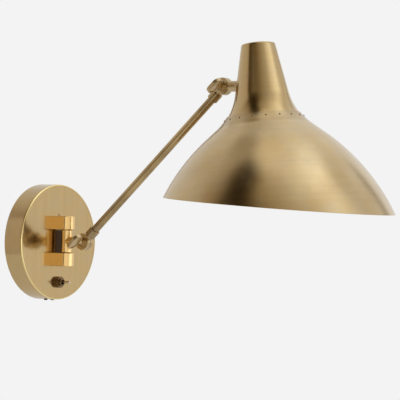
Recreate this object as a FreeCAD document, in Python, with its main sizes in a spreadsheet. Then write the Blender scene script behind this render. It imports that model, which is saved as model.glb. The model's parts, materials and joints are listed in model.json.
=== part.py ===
import FreeCAD, Part
import math
import os
import Sketcher
from FreeCAD import Placement, Rotation, Vector

# A wall lamp with one straight arm. A round backplate carries a vertical two-knuckle
# hinge. The arm has a friction swivel with a thumb key at each end, and the upper one
# holds a spun bell shade by a stub in the side of its neck.
# Frame, in millimetres: the wall is the plane y = 0, the lamp stands out along -Y, +Z is
# up, and the origin is the centre of the backplate's back.

doc = FreeCAD.newDocument("SwivelWallLamp")
sheet = doc.addObject("Spreadsheet::Sheet", "Sizes")
subparts = []


class Size:
    """A number together with the spreadsheet formula that it comes from."""

    def __init__(self, value, formula):
        self.value = value
        self.formula = formula

    def __add__(self, other):
        other = as_size(other)
        return Size(self.value + other.value, f"({self.formula} + {other.formula})")

    def __sub__(self, other):
        other = as_size(other)
        return Size(self.value - other.value, f"({self.formula} - {other.formula})")

    def __mul__(self, other):
        other = as_size(other)
        return Size(self.value * other.value, f"({self.formula} * {other.formula})")

    def __truediv__(self, other):
        other = as_size(other)
        return Size(self.value / other.value, f"({self.formula} / {other.formula})")

    def __neg__(self):
        return Size(-self.value, f"(-1 * {self.formula})")

    def __radd__(self, other):
        return as_size(other) + self

    def __rsub__(self, other):
        return as_size(other) - self

    def __rmul__(self, other):
        return as_size(other) * self

    def __rtruediv__(self, other):
        return as_size(other) / self


def as_size(number):
    if isinstance(number, Size):
        return number
    return Size(float(number), f"{number:.10g}")


def sine(angle):
    angle = as_size(angle)
    return Size(math.sin(math.radians(angle.value)), f"sin({angle.formula} * 1 deg)")


def cosine(angle):
    angle = as_size(angle)
    return Size(math.cos(math.radians(angle.value)), f"cos({angle.formula} * 1 deg)")


def tangent(angle):
    return sine(angle) / cosine(angle)


def root(number):
    return Size(math.sqrt(number.value), f"sqrt({number.formula})")


def cell(alias, number, note):
    """Write one driving dimension into the sheet and hand it back as a Size."""
    row = cell.next_row
    sheet.set(f"A{row}", note)
    sheet.set(f"B{row}", str(number))
    sheet.setAlias(f"B{row}", alias)
    cell.next_row = row + 1
    return Size(float(number), f"Sizes.{alias}")


cell.next_row = 1

# ---------------------------------------------------------------- driving dimensions

# backplate and its mounting
plate_radius = cell("plate_radius", 63.5, "backplate radius, for a 127 mm round plate")
plate_depth = cell("plate_depth", 24, "backplate depth from the wall")
plate_wall = cell("plate_wall", 1.2, "sheet of the backplate")
plate_round = cell("plate_round", 1.2, "rounding of the backplate's front edge")
pan_depth = cell("pan_depth", 16, "depth of the mounting pan's flange")
pan_wall = cell("pan_wall", 1.5, "sheet of the mounting pan")
pan_gap = cell("pan_gap", 0.4, "play between pan and backplate")
box_spacing = cell("box_spacing", 88.9, "spacing of the wall box screws")
slot_length = cell("slot_length", 14, "length of a mounting slot, end to end")
slot_width = cell("slot_width", 4.8, "width of a mounting slot")
wire_hole_radius = cell("wire_hole_radius", 10, "radius of the pan's wire hole")
wire_hole_height = cell("wire_hole_height", 30, "height of the wire hole above the centre")
ground_side = cell("ground_side", 26, "ground screw's distance from the centre line")
ground_radius = cell("ground_radius", 2, "ground screw's thread radius")
set_screw_radius = cell("set_screw_radius", 2, "radius of a set screw")
set_screw_side = cell("set_screw_side", 5.5, "set screw's distance from the centre line")
set_screw_out = cell("set_screw_out", 12, "set screws' distance from the wall")
set_screw_proud = cell("set_screw_proud", 1, "what a set screw stands out of the rim")

# hinge on the backplate
hinge_out = cell("hinge_out", 11.5, "hinge axis in front of the backplate")
hinge_rise = cell("hinge_rise", 1, "hinge centre above the backplate's centre")
knuckle_radius = cell("knuckle_radius", 8.3, "radius of a knuckle's nose")
knuckle_height = cell("knuckle_height", 14.8, "height of a knuckle")
knuckle_round = cell("knuckle_round", 0.7, "rounding of a knuckle's edges")
knuckle_bore_depth = cell("knuckle_bore_depth", 9, "depth of the pivot's seat")
knuckle_screw_radius = cell("knuckle_screw_radius", 2, "radius of a knuckle screw")
knuckle_screw_depth = cell("knuckle_screw_depth", 6, "depth of a screw in a knuckle")
pivot_radius = cell("pivot_radius", 4, "outer radius of the pivot tube")
pivot_wall = cell("pivot_wall", 0.8, "wall of the pivot tube")
barrel_radius = cell("barrel_radius", 5.8, "radius of the swivel barrel")
barrel_height = cell("barrel_height", 24.6, "height of the swivel barrel")
barrel_round = cell("barrel_round", 0.4, "rounding of the swivel barrel's ends")
thrust_washer = cell("thrust_washer", 0.4, "thickness of a thrust washer")
pin_radius = cell("pin_radius", 1, "radius of the small pin over the hinge")
pin_head_radius = cell("pin_head_radius", 1.6, "radius of the small pin's head")
pin_head_height = cell("pin_head_height", 1.2, "height of the small pin's head")

# fits
running_gap = cell("running_gap", 0.05, "radial clearance of a turning fit")
seat_gap = cell("seat_gap", 0.03, "clearance between pieces screwed together")
face_gap = cell("face_gap", 0.05, "clearance between turning faces")

# friction swivels
swivel_reach = cell("swivel_reach", 25, "hinge axis to lower swivel")
boss_radius = cell("boss_radius", 5.5, "radius of the swivel barrel's boss")
boss_reach = cell("boss_reach", 9.5, "hinge axis to the boss's end")
ear_radius = cell("ear_radius", 9.3, "radius of a swivel ear")
ear_width = cell("ear_width", 4.2, "width of a swivel ear")
ear_gap = cell("ear_gap", 0.6, "gap between two ears, for the friction washer")
ear_edge = cell("ear_edge", 0.7, "bevel on an ear's outer edge")
ear_relief = cell("ear_relief", 0.5, "clearance round the ear that turns beside it")
friction_radius = cell("friction_radius", 7.5, "radius of a friction washer")
key_screw_radius = cell("key_screw_radius", 2.5, "radius of a thumb key's screw")
key_washer_radius = cell("key_washer_radius", 5.4, "radius of a key washer")
key_washer_width = cell("key_washer_width", 0.8, "thickness of a key washer")
key_collar_radius = cell("key_collar_radius", 4.2, "radius of a thumb key's collar")
key_collar_width = cell("key_collar_width", 2.5, "width of a thumb key's collar")
key_stem_radius = cell("key_stem_radius", 3.2, "radius of a key's stem at its collar")
key_stem_length = cell("key_stem_length", 2.4, "length of the stem before the paddle")
paddle_half_length = cell("paddle_half_length", 10, "half the length of a key's paddle")
paddle_half_width = cell("paddle_half_width", 6, "half the width of a key's paddle")
paddle_thickness = cell("paddle_thickness", 4.4, "thickness of a key's paddle")
paddle_rim = cell("paddle_rim", 1.5, "width of the raised rim round a paddle's dish")
paddle_dish = cell("paddle_dish", 0.8, "depth of a paddle's dish")
paddle_round = cell("paddle_round", 0.6, "rounding of a paddle's outer edges")

# arm
arm_length = cell("arm_length", 253, "distance between the two swivels")
arm_angle = cell("arm_angle", 42.1, "rise of the arm above level, in degrees")
tube_radius = cell("tube_radius", 4.4, "outer radius of the arm tube")
tube_wall = cell("tube_wall", 1.1, "wall of the arm tube")
ferrule_radius = cell("ferrule_radius", 6, "outer radius of a ferrule")
ferrule_length = cell("ferrule_length", 10.5, "length of a ferrule")
ferrule_edge = cell("ferrule_edge", 0.6, "bevel on a ferrule's ends")
ferrule_start = cell("ferrule_start", 0.9, "ear's edge to the ferrule")
spigot_length = cell("spigot_length", 4.5, "length of an ear's spigot in its ferrule")
cable_radius = cell("cable_radius", 2.9, "radius of the cable")
cable_play = cell("cable_play", 0.3, "play round the cable in its bores")

# switch on the backplate
switch_drop = cell("switch_drop", 44.2, "switch below the backplate's centre")
bushing_radius = cell("bushing_radius", 4, "outer radius of the switch bushing")
bushing_bore = cell("bushing_bore", 2.9, "radius of the switch bushing's mouth")
bushing_out = cell("bushing_out", 7.2, "what the bushing stands out of the backplate")
bushing_in = cell("bushing_in", 3, "what the bushing reaches behind the sheet")
nut_radius = cell("nut_radius", 6.2, "radius of the knurled switch nut")
nut_width = cell("nut_width", 4.6, "width of the knurled switch nut")
groove_count = cell("groove_count", 24, "number of knurl grooves round the nut")
nut_groove_depth = cell("nut_groove_depth", 0.5, "depth of a knurl groove")
lever_pivot = cell("lever_pivot", 1.5, "lever's pivot in front of the backplate")
lever_waist = cell("lever_waist", 1.1, "radius of the lever at its ball")
lever_tip = cell("lever_tip", 1.7, "radius of the lever's tip")
lever_length = cell("lever_length", 14.6, "length of the lever from its pivot")
throw_angle = cell("throw_angle", 11, "lever's tilt to the side, in degrees")
switch_half = cell("switch_half", 6.5, "half the width of the switch body")
switch_height = cell("switch_height", 20, "height of the switch body")
switch_depth = cell("switch_depth", 11, "depth of the switch body")
terminal_length = cell("terminal_length", 2.5, "length of a switch terminal")
terminal_side = cell("terminal_side", 3.5, "terminal's distance from the switch's centre")
terminal_radius = cell("terminal_radius", 1.3, "radius of a switch terminal")
lead_radius = cell("lead_radius", 1, "radius of a single lead")
lead_length = cell("lead_length", 12, "length of a lead from its terminal")
connector_length = cell("connector_length", 18, "length of a wire connector")
connector_radius = cell("connector_radius", 4.2, "radius of a wire connector's mouth")
connector_tip = cell("connector_tip", 2.6, "radius of a wire connector's closed end")

# shade, along its own axis from the top of the neck
shade_reach = cell("shade_reach", 50, "upper swivel to the shade's axis")
lean_angle = cell("lean_angle", 7.3, "lean of the shade's axis, in degrees")
sheet_wall = cell("sheet_wall", 1, "sheet of the neck and of the bell")
stub_radius = cell("stub_radius", 5.85, "radius of the stub into the neck")
saddle_width = cell("saddle_width", 1.2, "saddle washer's least thickness")
nipple_radius = cell("nipple_radius", 4.9, "radius of a threaded nipple")
nipple_depth = cell("nipple_depth", 6, "length of the nipple in the stub")
lock_nut_flat = cell("lock_nut_flat", 7, "half the width across a lock nut's flats")
lock_nut_width = cell("lock_nut_width", 3, "thickness of a lock nut")
neck_rise = cell("neck_rise", 45.3, "top of the neck above the stub")
neck_top_radius = cell("neck_top_radius", 17.9, "radius at the top of the neck")
neck_angle = cell("neck_angle", 11.2, "slope of the neck from its axis, in degrees")
neck_straight = cell("neck_straight", 52.8, "straight length of the neck")
top_dome = cell("top_dome", 2, "rise of the neck's closed top")
top_round = cell("top_round", 1.5, "rounding of the neck's top edge")
flare_radius = cell("flare_radius", 64.4, "radius of the flare below the neck")
flare_angle = cell("flare_angle", 50.7, "steepest slope of the flare, in degrees")
bell_straight = cell("bell_straight", 16.1, "straight length between flare and bell")
bell_radius = cell("bell_radius", 219.7, "radius of the bell's side")
seam_angle = cell("seam_angle", 35, "slope of the flare at the bell's upper edge")
rivet_angle = cell("rivet_angle", 39.5, "slope of the flare at the rivets")
lap_angle = cell("lap_angle", 44.5, "slope of the flare at the neck's lower edge")
rivet_count = cell("rivet_count", 18, "number of rivets round the seam")
rivet_radius = cell("rivet_radius", 1.1, "radius of a rivet's head")
rivet_height = cell("rivet_height", 0.7, "height of a rivet's head")
rivet_shank = cell("rivet_shank", 0.6, "radius of a rivet's shank")
rivet_tail = cell("rivet_tail", 0.4, "thickness of a rivet's flattened tail")
rim_depth = cell("rim_depth", 172.4, "top of the neck to the rim, along the axis")
rim_tilt = cell("rim_tilt", 10.8, "tilt of the rim from square, in degrees")

# lampholder and bulb, along the shade's axis
bracket_drop = cell("bracket_drop", 11, "stub's level to the bracket's arm")
bracket_plate = cell("bracket_plate", 2.4, "thickness of the bracket")
bracket_half_width = cell("bracket_half_width", 7, "half the width of the bracket")
bracket_top = cell("bracket_top", 8, "bracket's reach above the stub's level")
bracket_end = cell("bracket_end", 9, "bracket's reach past the shade's axis")
bracket_clear = cell("bracket_clear", 0.3, "flat bracket's gap to the round neck")
stud_length = cell("stud_length", 5, "nipple's reach on each side of the bracket's arm")
cap_radius = cell("cap_radius", 17, "radius of the socket cap")
cap_height = cell("cap_height", 9, "height of the socket cap")
cap_shoulder = cell("cap_shoulder", 9, "radius of the socket cap's flat top")
socket_wall = cell("socket_wall", 0.8, "sheet of the socket cap and shell")
shell_overlap = cell("shell_overlap", 1.5, "overlap of the shell in the cap")
shell_length = cell("shell_length", 34, "length of the socket shell")
liner_wall = cell("liner_wall", 0.7, "wall of the insulating liner")
core_height = cell("core_height", 8, "height of the socket's insulating core")
screw_shell_wall = cell("screw_shell_wall", 0.4, "wall of the socket's screw contact")
screw_shell_length = cell("screw_shell_length", 22, "length of the socket's screw contact")
contact_radius = cell("contact_radius", 3, "radius of the centre contact")
contact_height = cell("contact_height", 1.5, "height of the centre contact")
bulb_base_radius = cell("bulb_base_radius", 13, "radius of the bulb's screw base")
bulb_base_length = cell("bulb_base_length", 24, "length of the bulb's screw base")
bulb_tip_height = cell("bulb_tip_height", 2.5, "height of the bulb's contact end")
bulb_radius = cell("bulb_radius", 23, "radius of the bulb's glass")
bulb_neck = cell("bulb_neck", 14, "length of the glass between its base and its ball")
bulb_wall = cell("bulb_wall", 0.8, "thickness of the bulb's glass")

# ---------------------------------------------------------------- places worked out

stack_half = barrel_height / 2 + thrust_washer + face_gap * 2
hinge_y = -(plate_depth + hinge_out)
lower_y = hinge_y - swivel_reach
upper_y = lower_y - arm_length * cosine(arm_angle)
upper_z = hinge_rise + arm_length * sine(arm_angle)
stub_y = upper_y - shade_reach
ear_out = ear_gap / 2 + ear_width
bore_radius = cable_radius + cable_play
along_arm = 90 - arm_angle
lever_ball = bushing_bore - running_gap

# ---------------------------------------------------------------- drawing helpers


def bind(thing, prop, number):
    thing.setExpression(prop, as_size(number).formula)


def place(thing, x=0, y=0, z=0, angle=0, axis=Vector(1, 0, 0)):
    """Put a piece at a point, turned by an angle in degrees about one axis."""
    thing.Placement = Placement(Vector(0, 0, 0), Rotation(axis, 1))
    bind(thing, "Placement.Base.x", x)
    bind(thing, "Placement.Base.y", y)
    bind(thing, "Placement.Base.z", z)
    bind(thing, "Placement.Rotation.Angle", angle)
    return thing


def in_shade(thing, height=0):
    """Put a piece on the shade's leaning axis, at a height above the stub's level."""
    height = as_size(height)
    return place(thing, 0, stub_y + height * sine(lean_angle),
                 upper_z + height * cosine(lean_angle), -lean_angle)


def subpart(thing, label):
    """Name a finished piece. Its label names its file."""
    thing.Label = label
    subparts.append(thing)
    return thing


def cylinder(radius, length, x=0, y=0, z=0, axis="Z"):
    """A cylinder that starts at a point and runs along +X, +Y or +Z."""
    thing = doc.addObject("Part::Cylinder", "Cylinder")
    bind(thing, "Radius", radius)
    bind(thing, "Height", length)
    turn = {"X": (Vector(0, 1, 0), 90), "Y": (Vector(1, 0, 0), -90), "Z": (Vector(0, 0, 1), 0)}
    return place(thing, x, y, z, turn[axis][1], turn[axis][0])


def box(width, depth, height, x, y, z):
    """A box from its lowest corner."""
    thing = doc.addObject("Part::Box", "Box")
    bind(thing, "Length", width)
    bind(thing, "Width", depth)
    bind(thing, "Height", height)
    return place(thing, x, y, z)


def fused(*pieces):
    thing = doc.addObject("Part::MultiFuse", "Fusion")
    thing.Shapes = list(pieces)
    return thing


def cut(base, tool):
    thing = doc.addObject("Part::Cut", "Cut")
    thing.Base = base
    thing.Tool = tool
    return thing


def grouped(*pieces):
    """Like pieces in one node, each a solid of its own."""
    thing = doc.addObject("Part::Compound", "Group")
    thing.Links = list(pieces)
    return thing


def new_body(name):
    return doc.addObject("PartDesign::Body", name)


def plane_of(body, role):
    return next(item for item in body.Origin.OriginFeatures if item.Role == role)


def arc_between(start, end, bend):
    """An arc under a half circle. A positive bend turns left on the way to its end."""
    middle = (start + end) * 0.5
    chord = end - start
    to_left = Vector(-chord.y, chord.x, 0).normalize()
    rise = math.sqrt(max(bend * bend - (chord.Length / 2) ** 2, 0.0))
    centre = middle + to_left * (rise if bend > 0 else -rise)
    circle = Part.Circle(centre, Vector(0, 0, 1), abs(bend))
    first, last = (start, end) if bend > 0 else (end, start)
    angle_first = math.atan2(first.y - centre.y, first.x - centre.x)
    angle_last = math.atan2(last.y - centre.y, last.x - centre.x)
    return Part.ArcOfCircle(circle, angle_first, angle_last)


def outline_sketch(body, plane, corners, offset=0, pivot=None, closed=True):
    """An outline, or an open path, on an origin plane of the body.

    A corner is (x, y), reached by a line, or (x, y, bend), reached by an arc of that
    radius. A pivot names two corners whose line becomes the axis of a turned shape.
    """
    sketch = body.newObject("Sketcher::SketchObject", "Outline")
    sketch.AttachmentSupport = [(plane_of(body, plane), "")]
    sketch.MapMode = "FlatFace"
    bind(sketch, "AttachmentOffset.Base.z", offset)
    points = [Vector(as_size(c[0]).value, as_size(c[1]).value, 0) for c in corners]
    ends = []
    for index, corner in enumerate(corners):
        if index == 0 and not closed:
            continue
        start, end = points[index - 1], points[index]
        if len(corner) == 3:
            bend = as_size(corner[2])
            edge = sketch.addGeometry(arc_between(start, end, bend.value), False)
            radius = sketch.addConstraint(Sketcher.Constraint("Radius", edge, abs(bend.value)))
            positive = bend if bend.value > 0 else -bend
            sketch.setExpression(f"Constraints[{radius}]", positive.formula)
            ends.append((edge, 1, 2) if bend.value > 0 else (edge, 2, 1))
        else:
            edge = sketch.addGeometry(Part.LineSegment(start, end), False)
            ends.append((edge, 1, 2))
    for index, (_, _, last) in enumerate(ends):
        following = (index + 1) % len(ends)
        if closed or following:
            sketch.addConstraint(Sketcher.Constraint(
                "Coincident", index, last, following, ends[following][1]))
    held_points = [(edge, last) for edge, _, last in ends]
    if not closed:
        held_points.insert(0, (ends[0][0], ends[0][1]))
    for corner, (edge, point) in zip(corners, held_points):
        hold(sketch, "DistanceX", edge, point, corner[0])
        hold(sketch, "DistanceY", edge, point, corner[1])
    if pivot:
        line = sketch.addGeometry(Part.LineSegment(points[pivot[0]], points[pivot[1]]), True)
        for position, corner in ((1, pivot[0]), (2, pivot[1])):
            edge, point = held_points[corner]
            sketch.addConstraint(Sketcher.Constraint("Coincident", line, position, edge, point))
    return sketch


def hold(sketch, kind, edge, point, number):
    """Hold a point at a distance from the sketch's origin, or on its axis at nought."""
    number = as_size(number)
    if number.formula == "0":
        across = -2 if kind == "DistanceX" else -1
        sketch.addConstraint(Sketcher.Constraint("PointOnObject", edge, point, across))
        return
    held = sketch.addConstraint(Sketcher.Constraint(kind, -1, 1, edge, point, number.value))
    sketch.setExpression(f"Constraints[{held}]", number.formula)


def circle_sketch(body, plane, circles, offset=0):
    """Full circles, each (x, y, radius), on an origin plane of the body."""
    sketch = body.newObject("Sketcher::SketchObject", "Circles")
    sketch.AttachmentSupport = [(plane_of(body, plane), "")]
    sketch.MapMode = "FlatFace"
    bind(sketch, "AttachmentOffset.Base.z", offset)
    for x, y, radius in circles:
        x, y, radius = as_size(x), as_size(y), as_size(radius)
        ring = Part.Circle(Vector(x.value, y.value, 0), Vector(0, 0, 1), radius.value)
        edge = sketch.addGeometry(ring, False)
        hold(sketch, "DistanceX", edge, 3, x)
        hold(sketch, "DistanceY", edge, 3, y)
        held = sketch.addConstraint(Sketcher.Constraint("Radius", edge, radius.value))
        sketch.setExpression(f"Constraints[{held}]", radius.formula)
    return sketch


def turned(name, axis, corners):
    """A body turned about its own X, Y or Z axis.

    Corners are (x, radius) for X, (radius, y) for Y and (radius, z) for Z.
    """
    body = new_body(name)
    sketch = outline_sketch(body, "XZ_Plane" if axis == "Z" else "XY_Plane", corners)
    spin = body.newObject("PartDesign::Revolution", "Turning")
    spin.Profile = sketch
    spin.ReferenceAxis = (sketch, ["H_Axis" if axis == "X" else "V_Axis"])
    spin.Angle = 360
    return body


def pad(body, sketch, length, both_sides=False, backwards=False):
    feature = body.newObject("PartDesign::Pad", "Pad")
    feature.Profile = sketch
    feature.SideType = "Symmetric" if both_sides else "One side"
    feature.Reversed = backwards
    bind(feature, "Length", length)
    return feature


def pocket(body, sketch, length=None, both_sides=False, backwards=False):
    """A pocket of a given depth, or right through where no depth is given."""
    feature = body.newObject("PartDesign::Pocket", "Pocket")
    feature.Profile = sketch
    feature.SideType = "Symmetric" if both_sides else "One side"
    feature.Reversed = backwards
    if length is None:
        feature.Type = "ThroughAll"
    else:
        bind(feature, "Length", length)
    return feature


def rounded(body, radius, chosen):
    """Round those edges of a body for which chosen(edge) is true."""
    doc.recompute()
    base = body.Tip
    names = [f"Edge{number}" for number, edge in enumerate(base.Shape.Edges, 1) if chosen(edge)]
    feature = body.newObject("PartDesign::Fillet", "Rounding")
    feature.Base = (base, names)
    bind(feature, "Radius", radius)
    return feature


def slot_corners(x, y, length, width):
    """A slot with round ends, along the sketch's first direction."""
    end, half = length / 2 - width / 2, width / 2
    return [(x + end, y - half), (x + end + half, y, half), (x + end, y + half, half),
            (x - end, y + half), (x - end - half, y, half), (x - end, y - half, half)]


def ring(name, axis, inner, outer, start, end):
    """A plain ring round the X or Z axis of its own frame."""
    if axis == "X":
        return turned(name, "X", [(start, inner), (end, inner), (end, outer), (start, outer)])
    return turned(name, "Z", [(inner, start), (outer, start), (outer, end), (inner, end)])


# ---------------------------------------------------------------- wall side

pan_radius = plate_radius - plate_wall - pan_gap
face_back = plate_depth - plate_wall
knuckle_level = stack_half + knuckle_height / 2
pin_level = hinge_rise + stack_half + knuckle_height + pin_head_radius + seat_gap * 4


def mounting_pan():
    """Shallow round pan that the wall box's screws hold against the wall."""
    body = turned("MountingPan", "Y", [
        (0, 0), (pan_radius, 0), (pan_radius, -pan_depth),
        (pan_radius - pan_wall, -pan_depth), (pan_radius - pan_wall, -pan_wall),
        (0, -pan_wall)])
    for side in (-1, 1):
        corners = slot_corners(side * box_spacing / 2, as_size(0), slot_length, slot_width)
        pocket(body, outline_sketch(body, "XZ_Plane", corners), both_sides=True)
    holes = [(0, wire_hole_height, wire_hole_radius), (-ground_side, 0, ground_radius)]
    pocket(body, circle_sketch(body, "XZ_Plane", holes), both_sides=True)
    return subpart(body, "mounting_pan")


def ground_screw():
    """Pan-head screw for the earth lead."""
    body = turned("GroundScrew", "Y", [
        (0, -seat_gap), (ground_radius - seat_gap, -seat_gap),
        (ground_radius - seat_gap, -pan_wall), (ground_radius * 2, -pan_wall),
        (ground_radius * 2, -pan_wall - ground_radius), (0, -pan_wall - ground_radius)])
    return subpart(place(body, -ground_side), "ground_screw")


def canopy():
    """Deep round backplate with a crisp, slightly rounded front edge."""
    body = turned("Canopy", "Y", [
        (plate_radius, 0), (plate_radius, plate_round - plate_depth),
        (plate_radius - plate_round, -plate_depth, -plate_round), (0, -plate_depth),
        (0, -face_back), (plate_radius - plate_wall, -face_back),
        (plate_radius - plate_wall, 0)])
    screw_hole = knuckle_screw_radius + running_gap
    holes = [(0, hinge_rise + knuckle_level, screw_hole),
             (0, hinge_rise - knuckle_level, screw_hole),
             (0, pin_level, pin_radius + seat_gap),
             (0, -switch_drop, bushing_radius + running_gap)]
    pocket(body, circle_sketch(body, "XZ_Plane", holes), both_sides=True)
    holes = [(side * set_screw_side, -set_screw_out, set_screw_radius + seat_gap)
             for side in (-1, 1)]
    pocket(body, circle_sketch(body, "XY_Plane", holes))
    return subpart(body, "canopy")


def canopy_set_screws():
    """Two small screws under the rim that clamp the canopy to the pan."""
    tip, head = -pan_radius - seat_gap * 2, -plate_radius - set_screw_proud
    edge = set_screw_radius / 4
    screws = []
    for side in (-1, 1):
        body = turned("SetScrew", "Z", [
            (0, tip), (0, head), (set_screw_radius - edge, head),
            (set_screw_radius, head + edge, edge), (set_screw_radius, tip)])
        screws.append(place(body, side * set_screw_side, -set_screw_out))
    return subpart(grouped(*screws), "canopy_set_screws")


def knuckle(label, bottom, opens_down):
    """Block with a flat back on the backplate and a round nose about the hinge axis."""
    body = new_body("Knuckle")
    nose = -hinge_out - knuckle_radius
    corners = [(knuckle_radius, 0), (-knuckle_radius, 0), (-knuckle_radius, -hinge_out),
               (0, nose, knuckle_radius), (knuckle_radius, -hinge_out, knuckle_radius)]
    pad(body, outline_sketch(body, "XY_Plane", corners), knuckle_height)
    rounded(body, knuckle_round, is_level_front_edge)
    seat = [(0, -hinge_out, pivot_radius + seat_gap)]
    start = 0 if opens_down else knuckle_height
    pocket(body, circle_sketch(body, "XY_Plane", seat, start), knuckle_bore_depth,
           backwards=opens_down)
    thread = [(0, knuckle_height / 2, knuckle_screw_radius + seat_gap)]
    pocket(body, circle_sketch(body, "XZ_Plane", thread), knuckle_screw_depth,
           backwards=True)
    return subpart(place(body, 0, -plate_depth, bottom), label)


def is_level_front_edge(edge):
    """True for the edges round the top and bottom of a knuckle, except at its back."""
    box_of_edge = edge.BoundBox
    return box_of_edge.ZLength < 1e-6 and box_of_edge.YMin < -1e-3


def knuckle_screws():
    """Two screws from inside the canopy, one into each knuckle."""
    screws = []
    for side in (-1, 1):
        body = turned("KnuckleScrew", "Y", [
            (0, -plate_depth - knuckle_screw_depth + seat_gap),
            (knuckle_screw_radius, -plate_depth - knuckle_screw_depth + seat_gap),
            (knuckle_screw_radius, -face_back), (knuckle_screw_radius * 2, -face_back),
            (knuckle_screw_radius * 2, knuckle_screw_radius - face_back),
            (0, knuckle_screw_radius - face_back)])
        screws.append(place(body, 0, 0, hinge_rise + side * knuckle_level))
    return subpart(grouped(*screws), "knuckle_screws")


def hinge_pivot_tube():
    """Hollow pivot held between the two knuckles."""
    half = stack_half + knuckle_bore_depth - face_gap
    body = ring("PivotTube", "Z", pivot_radius - pivot_wall, pivot_radius, -half, half)
    return subpart(place(body, 0, hinge_y, hinge_rise), "hinge_pivot_tube")


def plate_pin():
    """Small round-headed pin in the backplate, just above the upper knuckle."""
    body = turned("PlatePin", "Y", [
        (0, -face_back), (pin_radius, -face_back), (pin_radius, -plate_depth),
        (pin_head_radius, -plate_depth), (0, -plate_depth - pin_head_height,
                                          -dome_radius(pin_head_radius, pin_head_height))])
    return subpart(place(body, 0, 0, pin_level), "plate_pin")


def dome_radius(half_width, height):
    """Radius of the arc that rises by a height over half its width."""
    return (half_width * half_width + height * height) / (2 * height)


mounting_pan()
ground_screw()
canopy()
canopy_set_screws()
knuckle("upper_knuckle", hinge_rise + stack_half, True)
knuckle("lower_knuckle", hinge_rise - stack_half - knuckle_height, False)
knuckle_screws()
hinge_pivot_tube()
plate_pin()

# ---------------------------------------------------------------- switch


def switch_bushing():
    """Threaded sleeve through the backplate that the lever tilts in."""
    body = turned("SwitchBushing", "Y", [
        (bushing_bore, -bushing_out), (bushing_radius, -bushing_out),
        (bushing_radius, plate_wall + bushing_in), (bushing_bore, plate_wall + bushing_in)])
    return subpart(place(body, 0, -plate_depth, -switch_drop), "switch_bushing")


def switch_nut():
    """Round nut with a knurled edge, tight against the backplate."""
    inner = bushing_radius + seat_gap
    body = turned("SwitchNut", "Y", [
        (inner, 0), (nut_radius, 0), (nut_radius, -nut_width), (inner, -nut_width)])
    groove = pocket(body, outline_sketch(body, "XZ_Plane", [
        (nut_radius - nut_groove_depth, 0), (nut_radius + nut_groove_depth, nut_groove_depth),
        (nut_radius + nut_groove_depth, -nut_groove_depth)]), both_sides=True)
    knurl = body.newObject("PartDesign::PolarPattern", "Knurl")
    knurl.Originals = [groove]
    knurl.Axis = (plane_of(body, "Y_Axis"), [""])
    knurl.Angle = 360
    bind(knurl, "Occurrences", groove_count)
    body.Tip = knurl
    return subpart(place(body, 0, -plate_depth, -switch_drop), "switch_nut")


def switch_lever():
    """Slim bat lever with a ball at its pivot, thrown to one side."""
    neck = root(lever_ball * lever_ball - lever_waist * lever_waist)
    body = turned("SwitchLever", "Y", [
        (0, lever_ball, lever_ball), (0, -lever_length),
        (lever_tip, lever_tip - lever_length, lever_tip), (lever_waist, -neck),
        (lever_ball, 0, lever_ball)])
    place(body, 0, -plate_depth - lever_pivot, -switch_drop, throw_angle, Vector(0, 0, 1))
    return subpart(body, "switch_lever")


switch_front = -plate_depth + plate_wall + bushing_in
terminal_end = switch_front + switch_depth + terminal_length


def switch_body():
    """Moulded switch body behind the backplate, with two terminals."""
    pieces = [box(switch_half * 2, switch_depth, switch_height, -switch_half, switch_front,
                  -switch_drop - switch_height / 2)]
    for side in (-1, 1):
        pieces.append(cylinder(terminal_radius, terminal_length, side * terminal_side,
                               switch_front + switch_depth, -switch_drop, "Y"))
    return subpart(fused(*pieces), "switch_body")


def switch_leads_and_connectors():
    """A lead from each terminal to the connector that joins it to the supply."""
    leads, connectors = [], []
    level = terminal_end - terminal_radius
    start = terminal_side + terminal_radius
    for side in (-1, 1):
        low = start if side > 0 else -start - lead_length
        leads.append(cylinder(lead_radius, lead_length, low, level, -switch_drop, "X"))
        mouth, tip = start + lead_length, start + lead_length + connector_length
        corners = [(side * mouth, 0), (side * mouth, connector_radius),
                   (side * tip, connector_tip), (side * tip, 0)]
        connectors.append(place(turned("Connector", "X", corners), 0, level, -switch_drop))
    subpart(grouped(*leads), "switch_leads")
    subpart(grouped(*connectors), "wire_connectors")


switch_bushing()
switch_nut()
switch_lever()
switch_body()
switch_leads_and_connectors()

# ---------------------------------------------------------------- swivel block


def swivel_barrel():
    """Barrel that turns on the pivot tube, with a boss for the lower swivel."""
    half = barrel_height / 2
    body = ring("SwivelBarrel", "Z", pivot_radius + running_gap, barrel_radius, -half, half)
    rounded(body, barrel_round, lambda edge: edge.BoundBox.ZLength < 1e-6
            and edge.BoundBox.XLength > 2 * pivot_radius.value + 1)
    place(body, 0, hinge_y, hinge_rise)
    boss = cylinder(boss_radius, boss_reach, 0, hinge_y - boss_reach, hinge_rise, "Y")
    bore = cylinder(pivot_radius + running_gap, barrel_height, 0, hinge_y,
                    hinge_rise - barrel_height / 2)
    return subpart(fused(body, cut(boss, bore)), "swivel_barrel")


def hinge_washers():
    """A thrust washer at each end of the swivel barrel."""
    inner, half = pivot_radius + running_gap, barrel_height / 2
    washers = []
    for start, end in ((half + face_gap, half + face_gap + thrust_washer),
                       (-half - face_gap - thrust_washer, -half - face_gap)):
        washer = ring("ThrustWasher", "Z", inner, barrel_radius, start, end)
        washers.append(place(washer, 0, hinge_y, hinge_rise))
    return subpart(grouped(*washers), "hinge_washers")


def ear_blank(side):
    """Round ear beside the swivel's middle, on the +X or -X side, bevelled outside."""
    inside, outside = side * ear_gap / 2, side * ear_out
    bevel = side * (ear_out - ear_edge)
    return turned("Ear", "X", [
        (inside, 0), (outside, 0), (outside, ear_radius - ear_edge), (bevel, ear_radius),
        (inside, ear_radius)])


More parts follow.
